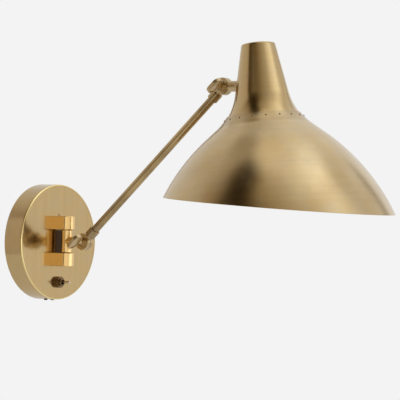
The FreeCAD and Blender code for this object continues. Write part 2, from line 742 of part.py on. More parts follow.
def ear_tools(side, hole_radius):
    """What is cut from an ear: room for its neighbour, and the key screw's hole."""
    reach = ear_out * 3
    low = side * ear_gap / 2 if side < 0 else side * ear_gap / 2 - reach
    room = cylinder(ear_radius + ear_relief, reach, low, 0, 0, "X")
    hole = cylinder(hole_radius, reach * 2, -reach, 0, 0, "X")
    return [room, hole]


def swivel_ear():
    """Fixed half of the lower swivel, screwed against the barrel's boss."""
    root_start = ear_radius - ear_edge * 2
    shank = cylinder(boss_radius, swivel_reach - boss_reach - root_start - seat_gap,
                     0, 0, root_start)
    tools = fused(*ear_tools(1, key_screw_radius + seat_gap))
    return subpart(place(cut(fused(ear_blank(1), shank), tools), 0, lower_y, hinge_rise, -90),
                   "swivel_ear")


def arm_ear(label, y, z, angle):
    """Half swivel at one end of the arm, with a spigot for its ferrule."""
    root_start = ear_radius - ear_edge * 2
    neck = cylinder(tube_radius, ferrule_start + ear_edge * 2 + spigot_length, 0, 0, root_start)
    tools = fused(*ear_tools(-1, key_screw_radius + running_gap))
    return subpart(place(cut(fused(ear_blank(-1), neck), tools), 0, y, z, angle), label)


def friction_washer(label, y, z):
    """Thin washer between the two ears of a swivel."""
    half = ear_gap / 2 - face_gap
    body = ring("FrictionWasher", "X", key_screw_radius + running_gap, friction_radius,
                -half, half)
    return subpart(place(body, 0, y, z), label)


def thumb_key(label, y, z, angle):
    """Screw, collar and oval paddle that tighten a swivel from its side."""
    body = new_body("ThumbKey")
    collar_in = -ear_out - key_washer_width - face_gap * 2
    collar_out = collar_in - key_collar_width
    paddle_in = collar_out - key_stem_length
    middle = paddle_in - paddle_half_width
    screw_end = ear_out + face_gap
    stem_end = paddle_in - paddle_rim
    sketch = outline_sketch(body, "XY_Plane", [
        (screw_end, 0), (screw_end, key_screw_radius), (collar_in, key_screw_radius),
        (collar_in, key_collar_radius), (collar_out, key_collar_radius),
        (collar_out, key_stem_radius), (stem_end, paddle_thickness / 2 - paddle_dish),
        (stem_end, 0)])
    spin = body.newObject("PartDesign::Revolution", "Turning")
    spin.Profile = sketch
    spin.ReferenceAxis = (sketch, ["H_Axis"])
    spin.Angle = 360
    pad(body, outline_sketch(body, "XZ_Plane", paddle_corners(middle, 0)), paddle_thickness,
        both_sides=True)
    rounded(body, paddle_round, lambda edge: abs(abs(edge.BoundBox.YMin)
            - paddle_thickness.value / 2) < 1e-6 and edge.BoundBox.YLength < 1e-6)
    for side in (-1, 1):
        dish = outline_sketch(body, "XZ_Plane", paddle_corners(middle, paddle_rim),
                              side * paddle_thickness / 2)
        pocket(body, dish, paddle_dish, backwards=side < 0)
    return subpart(place(body, 0, y, z, angle), label)


def paddle_corners(middle, inset):
    """Long oval across the key's axis, less an inset all round."""
    radius = paddle_half_width - inset
    straight = paddle_half_length - paddle_half_width
    return [(middle + radius, -straight, radius), (middle + radius, straight),
            (middle, straight + radius, radius), (middle - radius, straight, radius),
            (middle - radius, -straight), (middle, -straight - radius, radius)]


def key_washer(label, y, z):
    """Washer under a thumb key's collar."""
    start = -ear_out - face_gap
    body = ring("KeyWasher", "X", key_screw_radius + running_gap, key_washer_radius,
                start - key_washer_width, start)
    return subpart(place(body, 0, y, z), label)


swivel_barrel()
hinge_washers()
swivel_ear()
friction_washer("lower_friction_washer", lower_y, hinge_rise)
thumb_key("lower_thumb_key", lower_y, hinge_rise, along_arm)
key_washer("lower_key_washer", lower_y, hinge_rise)

# ---------------------------------------------------------------- arm

ferrule_low = ear_radius + ferrule_start
tube_start = ferrule_low + spigot_length + seat_gap


def on_arm(thing, distance=0):
    """Put a piece on the arm's line, at a distance from the lower swivel."""
    distance = as_size(distance)
    return place(thing, 0, lower_y - distance * cosine(arm_angle),
                 hinge_rise + distance * sine(arm_angle), along_arm)


def ferrule(label, start):
    """Short sleeve over the end of the arm tube, bevelled at both ends."""
    inner, edge = tube_radius + seat_gap, ferrule_edge
    body = turned("Ferrule", "Z", [
        (inner, 0), (ferrule_radius - edge, 0), (ferrule_radius, edge),
        (ferrule_radius, ferrule_length - edge), (ferrule_radius - edge, ferrule_length),
        (inner, ferrule_length)])
    return subpart(on_arm(body, start), label)


def arm_tube():
    body = ring("ArmTube", "Z", tube_radius - tube_wall, tube_radius, tube_start,
                arm_length - tube_start)
    return subpart(on_arm(body), "arm_tube")


def arm_cable():
    """Cable that runs up inside the arm tube."""
    body = cylinder(cable_radius, arm_length - tube_start * 2)
    return subpart(on_arm(body, tube_start), "arm_cable")


arm_ear("lower_arm_ear", lower_y, hinge_rise, along_arm)
ferrule("lower_ferrule", ferrule_low)
arm_tube()
arm_cable()
ferrule("upper_ferrule", arm_length - ferrule_low - ferrule_length)
arm_ear("upper_arm_ear", upper_y, upper_z, along_arm + 180)
friction_washer("upper_friction_washer", upper_y, upper_z)
thumb_key("upper_thumb_key", upper_y, upper_z, along_arm)
key_washer("upper_key_washer", upper_y, upper_z)

# ---------------------------------------------------------------- shade

neck_at_stub = neck_top_radius + neck_rise * tangent(neck_angle)
neck_face = neck_at_stub / (cosine(lean_angle) + tangent(neck_angle) * sine(lean_angle))
neck_end_radius = neck_top_radius + neck_straight * tangent(neck_angle)
flare_end = neck_straight + flare_radius * (sine(flare_angle) - sine(neck_angle))
flare_end_radius = neck_end_radius + flare_radius * (cosine(neck_angle) - cosine(flare_angle))
bell_start = flare_end + bell_straight * cosine(flare_angle)
bell_start_radius = flare_end_radius + bell_straight * sine(flare_angle)
bell_end = rim_depth + tangent(rim_tilt) * (bell_start_radius + rim_depth - bell_start)
bell_end_sine = sine(flare_angle) - (bell_end - bell_start) / bell_radius
bell_end_cosine = root(1 - bell_end_sine * bell_end_sine)
bell_end_radius = bell_start_radius + bell_radius * (bell_end_cosine - cosine(flare_angle))


def off_form(radius, depth, sine_of_slope, cosine_of_slope, offset):
    """Point at an offset outside the form line, as (radius, height above the stub)."""
    return (radius + offset * cosine_of_slope, neck_rise - depth + offset * sine_of_slope)


def on_flare(slope, offset=0):
    """Point of the flare where it has a slope, at an offset outside the form line."""
    radius = neck_end_radius + flare_radius * (cosine(neck_angle) - cosine(slope))
    depth = neck_straight + flare_radius * (sine(slope) - sine(neck_angle))
    return off_form(radius, depth, sine(slope), cosine(slope), offset)


def at_seam(along, out):
    """Point by a rivet: a distance down the slope, and out from the form line."""
    radius, height = on_flare(rivet_angle, out)
    return (radius + along * sine(rivet_angle), height - along * cosine(rivet_angle))


def rivet_holes(body):
    """Round holes for the rivets' shanks, evenly spaced round the seam."""
    hole, reach = rivet_shank + seat_gap, sheet_wall * 2
    sketch = outline_sketch(body, "XZ_Plane", [
        at_seam(as_size(0), -reach), at_seam(hole, -reach), at_seam(hole, reach),
        at_seam(as_size(0), reach)], pivot=(0, 3))
    groove = body.newObject("PartDesign::Groove", "RivetHole")
    groove.Profile = sketch
    groove.ReferenceAxis = (sketch, ["Axis0"])
    groove.Angle = 360
    round_the_seam(body, groove)


def round_the_seam(body, feature):
    pattern = body.newObject("PartDesign::PolarPattern", "RoundTheSeam")
    pattern.Originals = [feature]
    pattern.Axis = (plane_of(body, "Z_Axis"), [""])
    pattern.Angle = 360
    bind(pattern, "Occurrences", rivet_count)
    body.Tip = pattern


def shade_neck():
    """Spun neck: closed top, straight taper and flare. Its lower edge is in the bell."""
    slope_sine, slope_cosine = sine(neck_angle), cosine(neck_angle)
    edge_low = top_round + sheet_wall
    inner_top = off_form(neck_top_radius + edge_low * tangent(neck_angle), edge_low,
                         slope_sine, slope_cosine, -sheet_wall)
    inner_low = off_form(neck_end_radius, neck_straight, slope_sine, slope_cosine, -sheet_wall)
    body = turned("ShadeNeck", "Z", [
        (0, neck_rise - sheet_wall), (0, neck_rise + top_dome),
        (neck_top_radius - top_round, neck_rise,
         -dome_radius(neck_top_radius - top_round, top_dome)),
        (neck_top_radius + top_round * tangent(neck_angle), neck_rise - top_round,
         -top_round * 1.2),
        (neck_end_radius, neck_rise - neck_straight),
        (*on_flare(lap_angle), flare_radius),
        on_flare(lap_angle, -sheet_wall),
        (*inner_low, -(flare_radius + sheet_wall)),
        inner_top,
        (inner_top[0] - top_round, neck_rise - sheet_wall)])
    rivet_holes(body)
    in_shade(body)
    entry = cylinder(nipple_radius + seat_gap, neck_face * 2, 0, stub_y, upper_z, "Y")
    return subpart(cut(body, entry), "shade_neck")


def shade_bell():
    """Spun bell: it laps over the neck, and its rim is cut on a slant."""
    inner_end = (bell_end_radius, neck_rise - bell_end)
    outer_end = off_form(bell_end_radius, bell_end, bell_end_sine, bell_end_cosine, sheet_wall)
    slope_sine, slope_cosine = sine(flare_angle), cosine(flare_angle)
    body = turned("ShadeBell", "Z", [
        on_flare(seam_angle),
        (*on_flare(flare_angle), flare_radius),
        (bell_start_radius, neck_rise - bell_start),
        (*inner_end, -bell_radius),
        outer_end,
        (*off_form(bell_start_radius, bell_start, slope_sine, slope_cosine, sheet_wall),
         bell_radius + sheet_wall),
        on_flare(flare_angle, sheet_wall),
        (*on_flare(seam_angle, sheet_wall), sheet_wall - flare_radius)])
    wide, rim_level = bell_end_radius * 1.2, neck_rise - rim_depth
    slant = wide * tangent(rim_tilt)
    below = neck_rise - bell_end - wide
    pocket(body, outline_sketch(body, "YZ_Plane", [
        (-wide, rim_level - slant), (-wide, below), (wide, below), (wide, rim_level + slant)]),
        both_sides=True)
    rivet_holes(body)
    return subpart(in_shade(body), "shade_bell")


def shade_rivets():
    """Rivets round the lap of bell and neck: a low round head, a shank and a flat tail."""
    body = new_body("Rivets")
    body.AllowCompound = True
    head, inside = sheet_wall + seat_gap, -sheet_wall - seat_gap
    tail_radius = rivet_shank * 1.5
    sketch = outline_sketch(body, "XZ_Plane", [
        at_seam(as_size(0), inside - rivet_tail), at_seam(tail_radius, inside - rivet_tail),
        at_seam(tail_radius, inside), at_seam(rivet_shank, inside),
        at_seam(rivet_shank, head), at_seam(rivet_radius, head),
        (*at_seam(as_size(0), head + rivet_height), dome_radius(rivet_radius, rivet_height))],
        pivot=(0, 6))
    spin = body.newObject("PartDesign::Revolution", "Turning")
    spin.Profile = sketch
    spin.ReferenceAxis = (sketch, ["Axis0"])
    spin.Angle = 360
    round_the_seam(body, spin)
    return subpart(in_shade(body), "shade_rivets")


def neck_ear():
    """Shade's half of the upper swivel, with the stub that stands against the neck."""
    root_start = ear_radius - ear_edge * 2
    stub_end = shade_reach - neck_face - saddle_width - seat_gap
    shank = cylinder(stub_radius, stub_end - root_start, 0, 0, root_start)
    tools = ear_tools(1, key_screw_radius + seat_gap)
    tools.append(cylinder(nipple_radius + seat_gap, nipple_depth, 0, 0,
                          stub_end - nipple_depth))
    piece = cut(fused(ear_blank(1), shank), fused(*tools))
    return subpart(place(piece, 0, upper_y, upper_z, 90), "neck_ear")


def saddle_washer():
    """Washer with a flat side for the stub and a hollow side that fits the neck."""
    length = saddle_width + stub_radius / 2
    start = stub_y + neck_face + saddle_width - length
    blank = cylinder(stub_radius, length, 0, start, upper_z, "Y")
    cone = doc.addObject("Part::Cone", "NeckForm")
    reach = stub_radius * 2
    bind(cone, "Radius1", neck_at_stub + reach * tangent(neck_angle))
    bind(cone, "Radius2", neck_at_stub - reach * tangent(neck_angle))
    bind(cone, "Height", reach * 2)
    in_shade(cone, -reach)
    hole = cylinder(nipple_radius + seat_gap, length, 0, start, upper_z, "Y")
    return subpart(cut(blank, fused(cone, hole)), "saddle_washer")


# the lampholder hangs from a bent bracket inside the neck
inside_at_top = neck_at_stub - bracket_top * tangent(neck_angle) - sheet_wall / cosine(neck_angle)
leg_corner = root(inside_at_top * inside_at_top - bracket_half_width * bracket_half_width)
leg_out = leg_corner * cosine(lean_angle) + bracket_top * sine(lean_angle) - bracket_clear
leg_in = leg_out - bracket_plate
nipple_end = leg_in - lock_nut_width - sheet_wall


def hex_nut(name, width, hole):
    """Six-sided nut round the Z axis of its own frame."""
    body = new_body(name)
    corner = lock_nut_flat / cosine(30)
    corners = [(corner * cosine(60 * turn), corner * sine(60 * turn)) for turn in range(6)]
    pad(body, outline_sketch(body, "XY_Plane", corners), width)
    pocket(body, circle_sketch(body, "XY_Plane", [(0, 0, hole)]), both_sides=True)
    return body


def neck_nipple():
    """Hollow threaded nipple from the stub through the neck and the bracket."""
    start, end = nipple_end, neck_face + saddle_width + nipple_depth - seat_gap
    body = ring("NeckNipple", "Z", bore_radius, nipple_radius, start, end)
    return subpart(place(body, 0, stub_y, upper_z, -90), "neck_nipple")


def neck_lock_nut():
    """Nut inside the neck that draws the bracket and the neck against the stub."""
    body = hex_nut("NeckLockNut", lock_nut_width, nipple_radius + seat_gap)
    return subpart(place(body, 0, stub_y + leg_in - lock_nut_width, upper_z, -90),
                   "neck_lock_nut")


def from_shade_axis(sideways, height):
    """Point beside the leaning axis, as (y, z) from the stub's level on the axis."""
    lean_sine, lean_cosine = sine(lean_angle), cosine(lean_angle)
    return (sideways * lean_cosine + height * lean_sine,
            height * lean_cosine - sideways * lean_sine)


def level_at(y, height):
    """Point at a distance y where a plane square to the leaning axis crosses it."""
    sideways = (y - height * sine(lean_angle)) / cosine(lean_angle)
    return from_shade_axis(sideways, height)


def socket_bracket():
    """Bent strip: an upright leg at the nipple and an arm square to the shade's axis."""
    body = new_body("SocketBracket")
    arm_top, arm_under = -bracket_drop, -bracket_drop - bracket_plate
    pad(body, outline_sketch(body, "YZ_Plane", [
        (leg_out, bracket_top), (leg_in, bracket_top), level_at(leg_in, arm_top),
        from_shade_axis(-bracket_end, arm_top), from_shade_axis(-bracket_end, arm_under),
        level_at(leg_out, arm_under)]), bracket_half_width * 2, both_sides=True)
    place(body, 0, stub_y, upper_z)
    hole = nipple_radius + seat_gap
    upright = cylinder(hole, leg_out, 0, stub_y + leg_in - bracket_plate, upper_z, "Y")
    level = in_shade(cylinder(hole, bracket_plate * 3), arm_top - bracket_plate * 2)
    return subpart(cut(body, fused(upright, level)), "socket_bracket")


cap_top = -bracket_drop - bracket_plate - seat_gap
cap_low = cap_top - cap_height
shell_top = cap_low + shell_overlap
shell_low = shell_top - shell_length
shell_radius = cap_radius - socket_wall - seat_gap
liner_radius = shell_radius - socket_wall - seat_gap
core_radius = liner_radius - liner_wall - seat_gap
core_top = shell_top - seat_gap
core_low = core_top - core_height
screw_radius = bulb_base_radius + seat_gap * 2
bulb_top = core_low - contact_height - seat_gap
bulb_low = bulb_top - bulb_tip_height - bulb_base_length


def socket_stud():
    """Short hollow nipple that joins the bracket's arm to the socket cap."""
    start = -bracket_drop - bracket_plate - stud_length
    body = ring("SocketStud", "Z", bore_radius, nipple_radius, start, stud_length - bracket_drop)
    return subpart(in_shade(body), "socket_stud")


def socket_stud_nut():
    body = hex_nut("SocketStudNut", lock_nut_width, nipple_radius + seat_gap)
    return subpart(in_shade(body, seat_gap - bracket_drop), "socket_stud_nut")


def socket_cap():
    """Domed cap of the lampholder."""
    hole, inner = nipple_radius + seat_gap, cap_radius - socket_wall
    drop = cap_height / 2
    bend = dome_radius(cap_radius - cap_shoulder, drop)
    body = turned("SocketCap", "Z", [
        (hole, cap_top), (hole, cap_top - socket_wall),
        (cap_shoulder - socket_wall, cap_top - socket_wall),
        (inner, cap_top - drop, -bend), (inner, cap_low), (cap_radius, cap_low),
        (cap_radius, cap_top - drop), (cap_shoulder, cap_top, bend + socket_wall)])
    return subpart(in_shade(body), "socket_cap")


def socket_shell():
    """Brass shell of the lampholder."""
    body = ring("SocketShell", "Z", shell_radius - socket_wall, shell_radius, shell_low,
                shell_top)
    return subpart(in_shade(body), "socket_shell")


def socket_liner():
    """Insulating sleeve inside the shell."""
    body = ring("SocketLiner", "Z", liner_radius - liner_wall, liner_radius, shell_low,
                core_top)
    return subpart(in_shade(body), "socket_liner")


def socket_core():
    """Insulating core that carries the contacts."""
    body = turned("SocketCore", "Z", [
        (0, core_low), (core_radius, core_low), (core_radius, core_top), (0, core_top)])
    return subpart(in_shade(body), "socket_core")


def screw_contact():
    """Screw shell that the bulb's base turns into."""
    body = ring("ScrewContact", "Z", screw_radius, screw_radius + screw_shell_wall,
                core_low - screw_shell_length, core_low)
    return subpart(in_shade(body), "screw_contact")


def centre_contact():
    body = turned("CentreContact", "Z", [
        (0, core_low - contact_height), (contact_radius, core_low - contact_height),
        (contact_radius, core_low), (0, core_low)])
    return subpart(in_shade(body), "centre_contact")


def bulb_base():
    """Screw base of the bulb, with its contact end."""
    shoulder = bulb_top - bulb_tip_height
    body = turned("BulbBase", "Z", [
        (0, bulb_low), (bulb_base_radius, bulb_low), (bulb_base_radius, shoulder),
        (contact_radius * 1.5, bulb_top), (0, bulb_top)])
    return subpart(in_shade(body), "bulb_base")


def bulb_glass():
    """Thin round bulb on a short tapering neck, open where it stands in its base."""
    start, wall = bulb_base_radius - socket_wall, bulb_wall
    top = bulb_low - seat_gap
    middle = bulb_low - bulb_neck - bulb_radius * sine(45)
    side, level = bulb_radius * cosine(45), middle + bulb_radius * sine(45)
    inner = bulb_radius - wall
    inner_side, inner_level = inner * cosine(45), middle + inner * sine(45)
    body = turned("BulbGlass", "Z", [
        (start - wall, top), (inner_side, inner_level, bulb_radius * 1.5 + wall),
        (inner, middle, -inner), (0, middle - inner, -inner), (0, middle - bulb_radius),
        (bulb_radius, middle, bulb_radius), (side, level, bulb_radius),
        (start, top, -bulb_radius * 1.5)])
    return subpart(in_shade(body), "bulb_glass")


def socket_leads():
    """Leads through the nipple, bent down into the hollow stud."""
    body = new_body("SocketLeads")
    start, corner = neck_face, bracket_drop - stud_length
    bend = corner / tangent(45 - lean_angle / 2)
    profile = circle_sketch(body, "XZ_Plane", [(0, 0, cable_radius)], -start)
    path = outline_sketch(body, "YZ_Plane", [
        (start, 0), (corner, 0), (*from_shade_axis(0, -corner), bend),
        from_shade_axis(0, -corner - stud_length)], closed=False)
    pipe = body.newObject("PartDesign::AdditivePipe", "Lead")
    pipe.Profile = profile
    pipe.Spine = path
    return subpart(place(body, 0, stub_y, upper_z), "socket_leads")


shade_neck()
shade_bell()
shade_rivets()
neck_ear()
saddle_washer()
neck_nipple()
neck_lock_nut()
socket_bracket()
socket_stud()
socket_stud_nut()
socket_cap()
socket_shell()
socket_liner()
socket_core()
screw_contact()
centre_contact()
socket_leads()
bulb_base()
bulb_glass()

# ---------------------------------------------------------------- check and write

doc.recompute()
for item in doc.Objects:
    if "Invalid" in item.State or "Error" in item.State:
        raise RuntimeError(f"{item.Name} ({item.Label}) did not build: {item.State}")
for piece in subparts:
    if piece.Shape.isNull() or not piece.Shape.isValid() or not piece.Shape.Solids:
        raise RuntimeError(f"{piece.Label} is not a valid solid")

os.makedirs("parts", exist_ok=True)
for piece in subparts:
    piece.Shape.exportStep(f"parts/{piece.Label}.step")
    print(f"{piece.Label}: {len(piece.Shape.Solids)} solid, {piece.Shape.Volume / 1000:.2f} cm3")
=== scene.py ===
import json
import math

import bmesh
import bpy
from bpy.props import FloatProperty, FloatVectorProperty, IntProperty, PointerProperty
from mathutils import Matrix, Vector


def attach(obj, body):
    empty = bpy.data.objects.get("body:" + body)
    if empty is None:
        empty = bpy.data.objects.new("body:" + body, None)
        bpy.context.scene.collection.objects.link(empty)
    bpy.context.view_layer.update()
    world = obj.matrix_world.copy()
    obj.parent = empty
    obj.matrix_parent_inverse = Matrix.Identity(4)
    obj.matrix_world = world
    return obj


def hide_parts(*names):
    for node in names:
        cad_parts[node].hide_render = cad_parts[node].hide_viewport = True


bl_info = {
    "name": "Swivel Wall Lamp",
    "version": (1, 0, 0),
    "blender": (4, 5, 0),
    "location": "3D View > Sidebar > Wall Lamp",
    "description": "Finishes a swivel wall lamp: spun brass shade, backplate, metals and studio",
    "category": "Object",
}

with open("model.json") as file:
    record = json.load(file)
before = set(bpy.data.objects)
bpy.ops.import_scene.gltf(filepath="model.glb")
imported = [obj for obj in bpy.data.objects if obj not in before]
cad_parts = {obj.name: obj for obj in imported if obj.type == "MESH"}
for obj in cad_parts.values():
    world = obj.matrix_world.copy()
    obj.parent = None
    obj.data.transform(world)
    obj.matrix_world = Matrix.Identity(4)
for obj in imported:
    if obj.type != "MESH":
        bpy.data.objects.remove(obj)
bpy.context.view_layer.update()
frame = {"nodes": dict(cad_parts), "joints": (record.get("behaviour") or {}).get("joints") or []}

MM = 0.001
PLACES = {joint["name"]: Vector(joint["pos_m"]) for joint in frame["joints"]}
LOWER_SWIVEL, UPPER_SWIVEL = PLACES["arm_tilt"], PLACES["shade_tilt"]
ARM_RISE = math.atan2(UPPER_SWIVEL.z - LOWER_SWIVEL.z, LOWER_SWIVEL.y - UPPER_SWIVEL.y)
ORIGIN = (0.0, 0.0, 0.0)


# ---------------------------------------------------------------- sizes and colours


def length(name, description, millimetres):
    return FloatProperty(name=name, description=description, default=millimetres * MM,
                         min=0.0, unit="LENGTH", precision=5)


def angle(name, description, degrees):
    return FloatProperty(name=name, description=description, default=math.radians(degrees),
                         subtype="ANGLE")


def share(name, description, value):
    return FloatProperty(name=name, description=description, default=value, min=0.0,
                         max=1.0, subtype="FACTOR")


def colour(name, description, red, green, blue):
    return FloatVectorProperty(name=name, description=description, default=(red, green, blue),
                               min=0.0, max=4.0, subtype="COLOR", size=3)


class ShadeSizes(bpy.types.PropertyGroup):
    reach: length("Reach", "Upper swivel to the shade's axis", 50.0)
    lean: angle("Lean", "Lean of the shade's axis towards the wall", 7.3)
    sheet: length("Sheet", "Thickness of the spun sheet", 1.0)
    neck_rise: length("Neck rise", "Top of the neck above the stub", 45.3)
    top_radius: length("Top radius", "Radius at the top of the neck", 17.9)
    top_dome: length("Top dome", "Rise of the closed top", 2.0)
    top_round: length("Top round", "Rounding of the top's edge", 1.5)
    neck_angle: angle("Neck taper", "Slope of the neck from its axis", 11.2)
    neck_straight: length("Neck straight", "Straight length of the neck", 52.8)
    flare_radius: length("Flare radius", "Radius of the flare under the neck", 64.4)
    flare_angle: angle("Flare slope", "Steepest slope of the flare", 50.7)
    straight: length("Shoulder", "Straight length between flare and bell", 16.1)
    bell_radius: length("Bell radius", "Radius of the bell's side", 219.7)
    seam_angle: angle("Seam", "Slope of the flare at the bell's upper edge", 35.0)
    rivet_angle: angle("Rivet line", "Slope of the flare at the rivets", 39.5)
    lap_angle: angle("Lap", "Slope of the flare at the neck's lower edge", 44.5)
    rim_depth: length("Rim depth", "Top of the neck to the rim, along the axis", 172.4)
    rim_tilt: angle("Rim tilt", "Tilt of the rim from square to the axis", 10.8)
    rivets: IntProperty(name="Rivets", description="Rivets round the seam", default=18, min=3)
    rivet_radius: length("Rivet radius", "Radius of a rivet's head", 1.1)
    rivet_height: length("Rivet height", "Height of a rivet's head", 0.7)


class PlateSizes(bpy.types.PropertyGroup):
    radius: length("Radius", "Radius of the backplate", 63.5)
    depth: length("Depth", "Depth of the backplate", 24.0)
    sheet: length("Sheet", "Thickness of the backplate's sheet", 1.2)
    edge: length("Edge", "Rounding of the front edge", 1.2)


class FinishColours(bpy.types.PropertyGroup):
    brass: colour("Brass", "Colour of the aged brass", 0.63, 0.49, 0.28)
    brass_warm: colour("Warm brass", "Warmer tone in the patina", 0.59, 0.435, 0.215)
    brass_grey: colour("Grey brass", "Duller tone in the patina", 0.53, 0.44, 0.31)
    brass_shaded: colour("Shaded brass", "Deeper tone of the arm", 0.34, 0.24, 0.12)
    # painted highlight: colour painted along the plate's rounded front edge
    edge: colour("Worn edge", "Bright brass where the plate's edge is worn", 0.98, 0.80, 0.36)
    tarnish: colour("Tarnish", "Brown of the tarnish", 0.20, 0.125, 0.055)
    # painted shade: colour of the dark strip on the plate behind the hinge, in place of shade and
    # reflection
    painted_hinge_shade: colour("Unpolished", "Plate behind the hinge, out of reach", 0.03, 0.012, 0.002)
    polished: colour("Polished brass", "Colour of the polished hinge", 0.98, 0.69, 0.31)
    dark: colour("Dark metal", "Colour of the darkened switch nut", 0.24, 0.16, 0.085)
    pale: colour("Pale metal", "Colour of the switch lever", 0.72, 0.60, 0.46)
    screw: colour("Set screws", "Colour of the darkened set screws", 0.13, 0.09, 0.05)
    zinc: colour("Zinc", "Colour of the plated steel", 0.60, 0.60, 0.58)
    nickel: colour("Nickel", "Colour of the bulb's base", 0.66, 0.64, 0.60)
    green: colour("Green plate", "Colour of the ground screw", 0.06, 0.26, 0.10)
    black: colour("Black moulding", "Colour of the switch body and its leads", 0.03, 0.03, 0.03)
    connector: colour("Connectors", "Colour of the wire connectors", 0.52, 0.22, 0.05)
    insulator: colour("Insulator", "Colour of the lampholder's insulation", 0.66, 0.62, 0.54)
    sheath: colour("Cable sheath", "Colour of the cable's sheath", 0.09, 0.08, 0.07)
    fibre: colour("Fibre", "Colour of the fibre washers", 0.20, 0.13, 0.07)
    glass: colour("Frosted glass", "Colour of the bulb's glass", 0.97, 0.96, 0.92)
    haze: colour("Haze", "Deeper tone in the bulb's frosting", 0.92, 0.90, 0.84)
    roughness: share("Roughness", "Roughness of the satin brass", 0.20)
    polish: share("Polish roughness", "Roughness of the polished hinge", 0.21)


class StageSettings(bpy.types.PropertyGroup):
    azimuth: angle("Azimuth", "Camera's angle round the lamp", -52.1)
    elevation: angle("Elevation", "Camera's angle above the level", -0.7)
    roll: angle("Roll", "Camera's lean to its left", 1.5)
    distance: length("Distance", "Camera to the backplate", 4000.0)
    pixels_per_metre: FloatProperty(name="Scale", description="Scale at the backplate",
                                    default=905.67, min=1.0)
    plate_x: FloatProperty(name="Plate across", description="Backplate's centre in the picture",
                           default=58.78)
    plate_y: FloatProperty(name="Plate down", description="Backplate's centre in the picture",
                           default=242.03)
    backdrop: share("Backdrop", "Brightness of the pale backdrop", 0.896)
    key: FloatProperty(name="Key light", description="Power of the main light", default=1.5,
                       min=0.0, unit="POWER")
    fill: FloatProperty(name="Fill light", description="Power of the fill light", default=2.0,
                        min=0.0, unit="POWER")


# ---------------------------------------------------------------- shader expressions


class Wire:
    """A socket that can stand in a sum. A sum of values adds its Math nodes."""

    def __init__(self, finish, socket):
        self.finish = finish
        self.socket = socket

    def maths(self, operation, *values):
        return self.finish.node("ShaderNodeMath", {"operation": operation},
                                dict(enumerate(values)))

    def __add__(self, other):
        return self.maths("ADD", self, other)

    def __sub__(self, other):
        return self.maths("SUBTRACT", self, other)

    def __rsub__(self, other):
        return self.maths("SUBTRACT", other, self)

    def __mul__(self, other):
        return self.maths("MULTIPLY", self, other)

    def __truediv__(self, other):
        return self.maths("DIVIDE", self, other)

    def __rtruediv__(self, other):
        return self.maths("DIVIDE", other, self)

    def __pow__(self, other):
        return self.maths("POWER", self, other)

    def __rpow__(self, other):
        return self.maths("POWER", other, self)

    __radd__ = __add__
    __rmul__ = __mul__

    def between(self, low, high):
        """Rises smoothly from 0 at low to 1 at high."""
        return self.finish.node("ShaderNodeMapRange", {"interpolation_type": "SMOOTHSTEP"},
                                {"Value": self, "From Min": low, "From Max": high})


class Finish:
    """The node tree of a material or of the world, while it is made."""

    def __init__(self, owner):
        self.owner = owner
        owner.use_nodes = True
        self.tree = owner.node_tree

    def node(self, kind, settings=None, inputs=None, output=0):
        """Adds a node, sets it, then feeds its sockets, and returns one of its outputs."""
        made = self.tree.nodes.new(kind)
        for name, value in (settings or {}).items():
            if name == "stops":
                self.set_stops(made.color_ramp, value)
            else:
                setattr(made, name, value)
        for name, value in (inputs or {}).items():
            self.feed(made.inputs[name], value)
        return Wire(self, made.outputs[output])

    def set_stops(self, ramp, stops):
        while len(ramp.elements) < len(stops):
            ramp.elements.new(0.5)
        for element, (place, shade) in zip(ramp.elements, stops):
            element.position = place
            element.color = (*shade, 1.0)

    def feed(self, socket, value):
        if isinstance(value, Wire):
            self.tree.links.new(value.socket, socket)
        elif socket.type == "RGBA" and len(value) == 3:
            socket.default_value = (*value, 1.0)
        else:
            socket.default_value = value

    def blend(self, factor, first, second):
        """Mixes two colours."""
        return self.node("ShaderNodeMix", {"data_type": "RGBA"},
                         {"Factor": factor, 6: first, 7: second}, 2)

    def noise(self, place, scale, detail=2.0, roughness=0.5):
        return self.node("ShaderNodeTexNoise", {"noise_dimensions": "3D"},
                         {"Vector": place, "Scale": scale, "Detail": detail,
                          "Roughness": roughness})

    def parts(self, vector):
        """The three numbers of a vector."""
        split = self.node("ShaderNodeSeparateXYZ", {}, {0: vector}).socket.node
        return [Wire(self, out) for out in split.outputs]

    def vector(self, x, y, z):
        return self.node("ShaderNodeCombineXYZ", {}, {0: x, 1: y, 2: z})


class Surface(Finish):
    """A material with its Principled shader and the piece's own coordinates."""

    def __init__(self, name):
        super().__init__(bpy.data.materials.new(name))
        self.shader = self.tree.nodes["Principled BSDF"]
        self.place = self.node("ShaderNodeTexCoord", {}, {}, 3)

    def give(self, **sockets):
        """Feeds the shader's sockets, named with _ for a space, and returns the material."""
        for name, value in sockets.items():
            self.feed(self.shader.inputs[name.replace("_", " ")], value)
        return self.owner

    def about(self, centre, tilt):
        """Coordinates from a centre, with the piece's own axis turned to Z."""
        turn = Matrix.Rotation(tilt, 3, "X")
        shift = -(turn @ Vector(centre))
        return self.node("ShaderNodeMapping", {},
                         {"Vector": self.place, "Location": shift, "Rotation": (tilt, 0.0, 0.0)})

    def grain(self, across, scale):
        """Fine lines of a brush: noise stretched along the direction of brushing."""
        fine = self.noise(across, scale, 3.0, 0.6)
        broad = self.noise(across, scale * 0.22, 2.0, 0.5)
        return fine * 0.6 + broad * 0.4

    def bumped(self, height, depth, strength):
        return self.node("ShaderNodeBump", {},
                         {"Height": height, "Distance": depth, "Strength": strength})


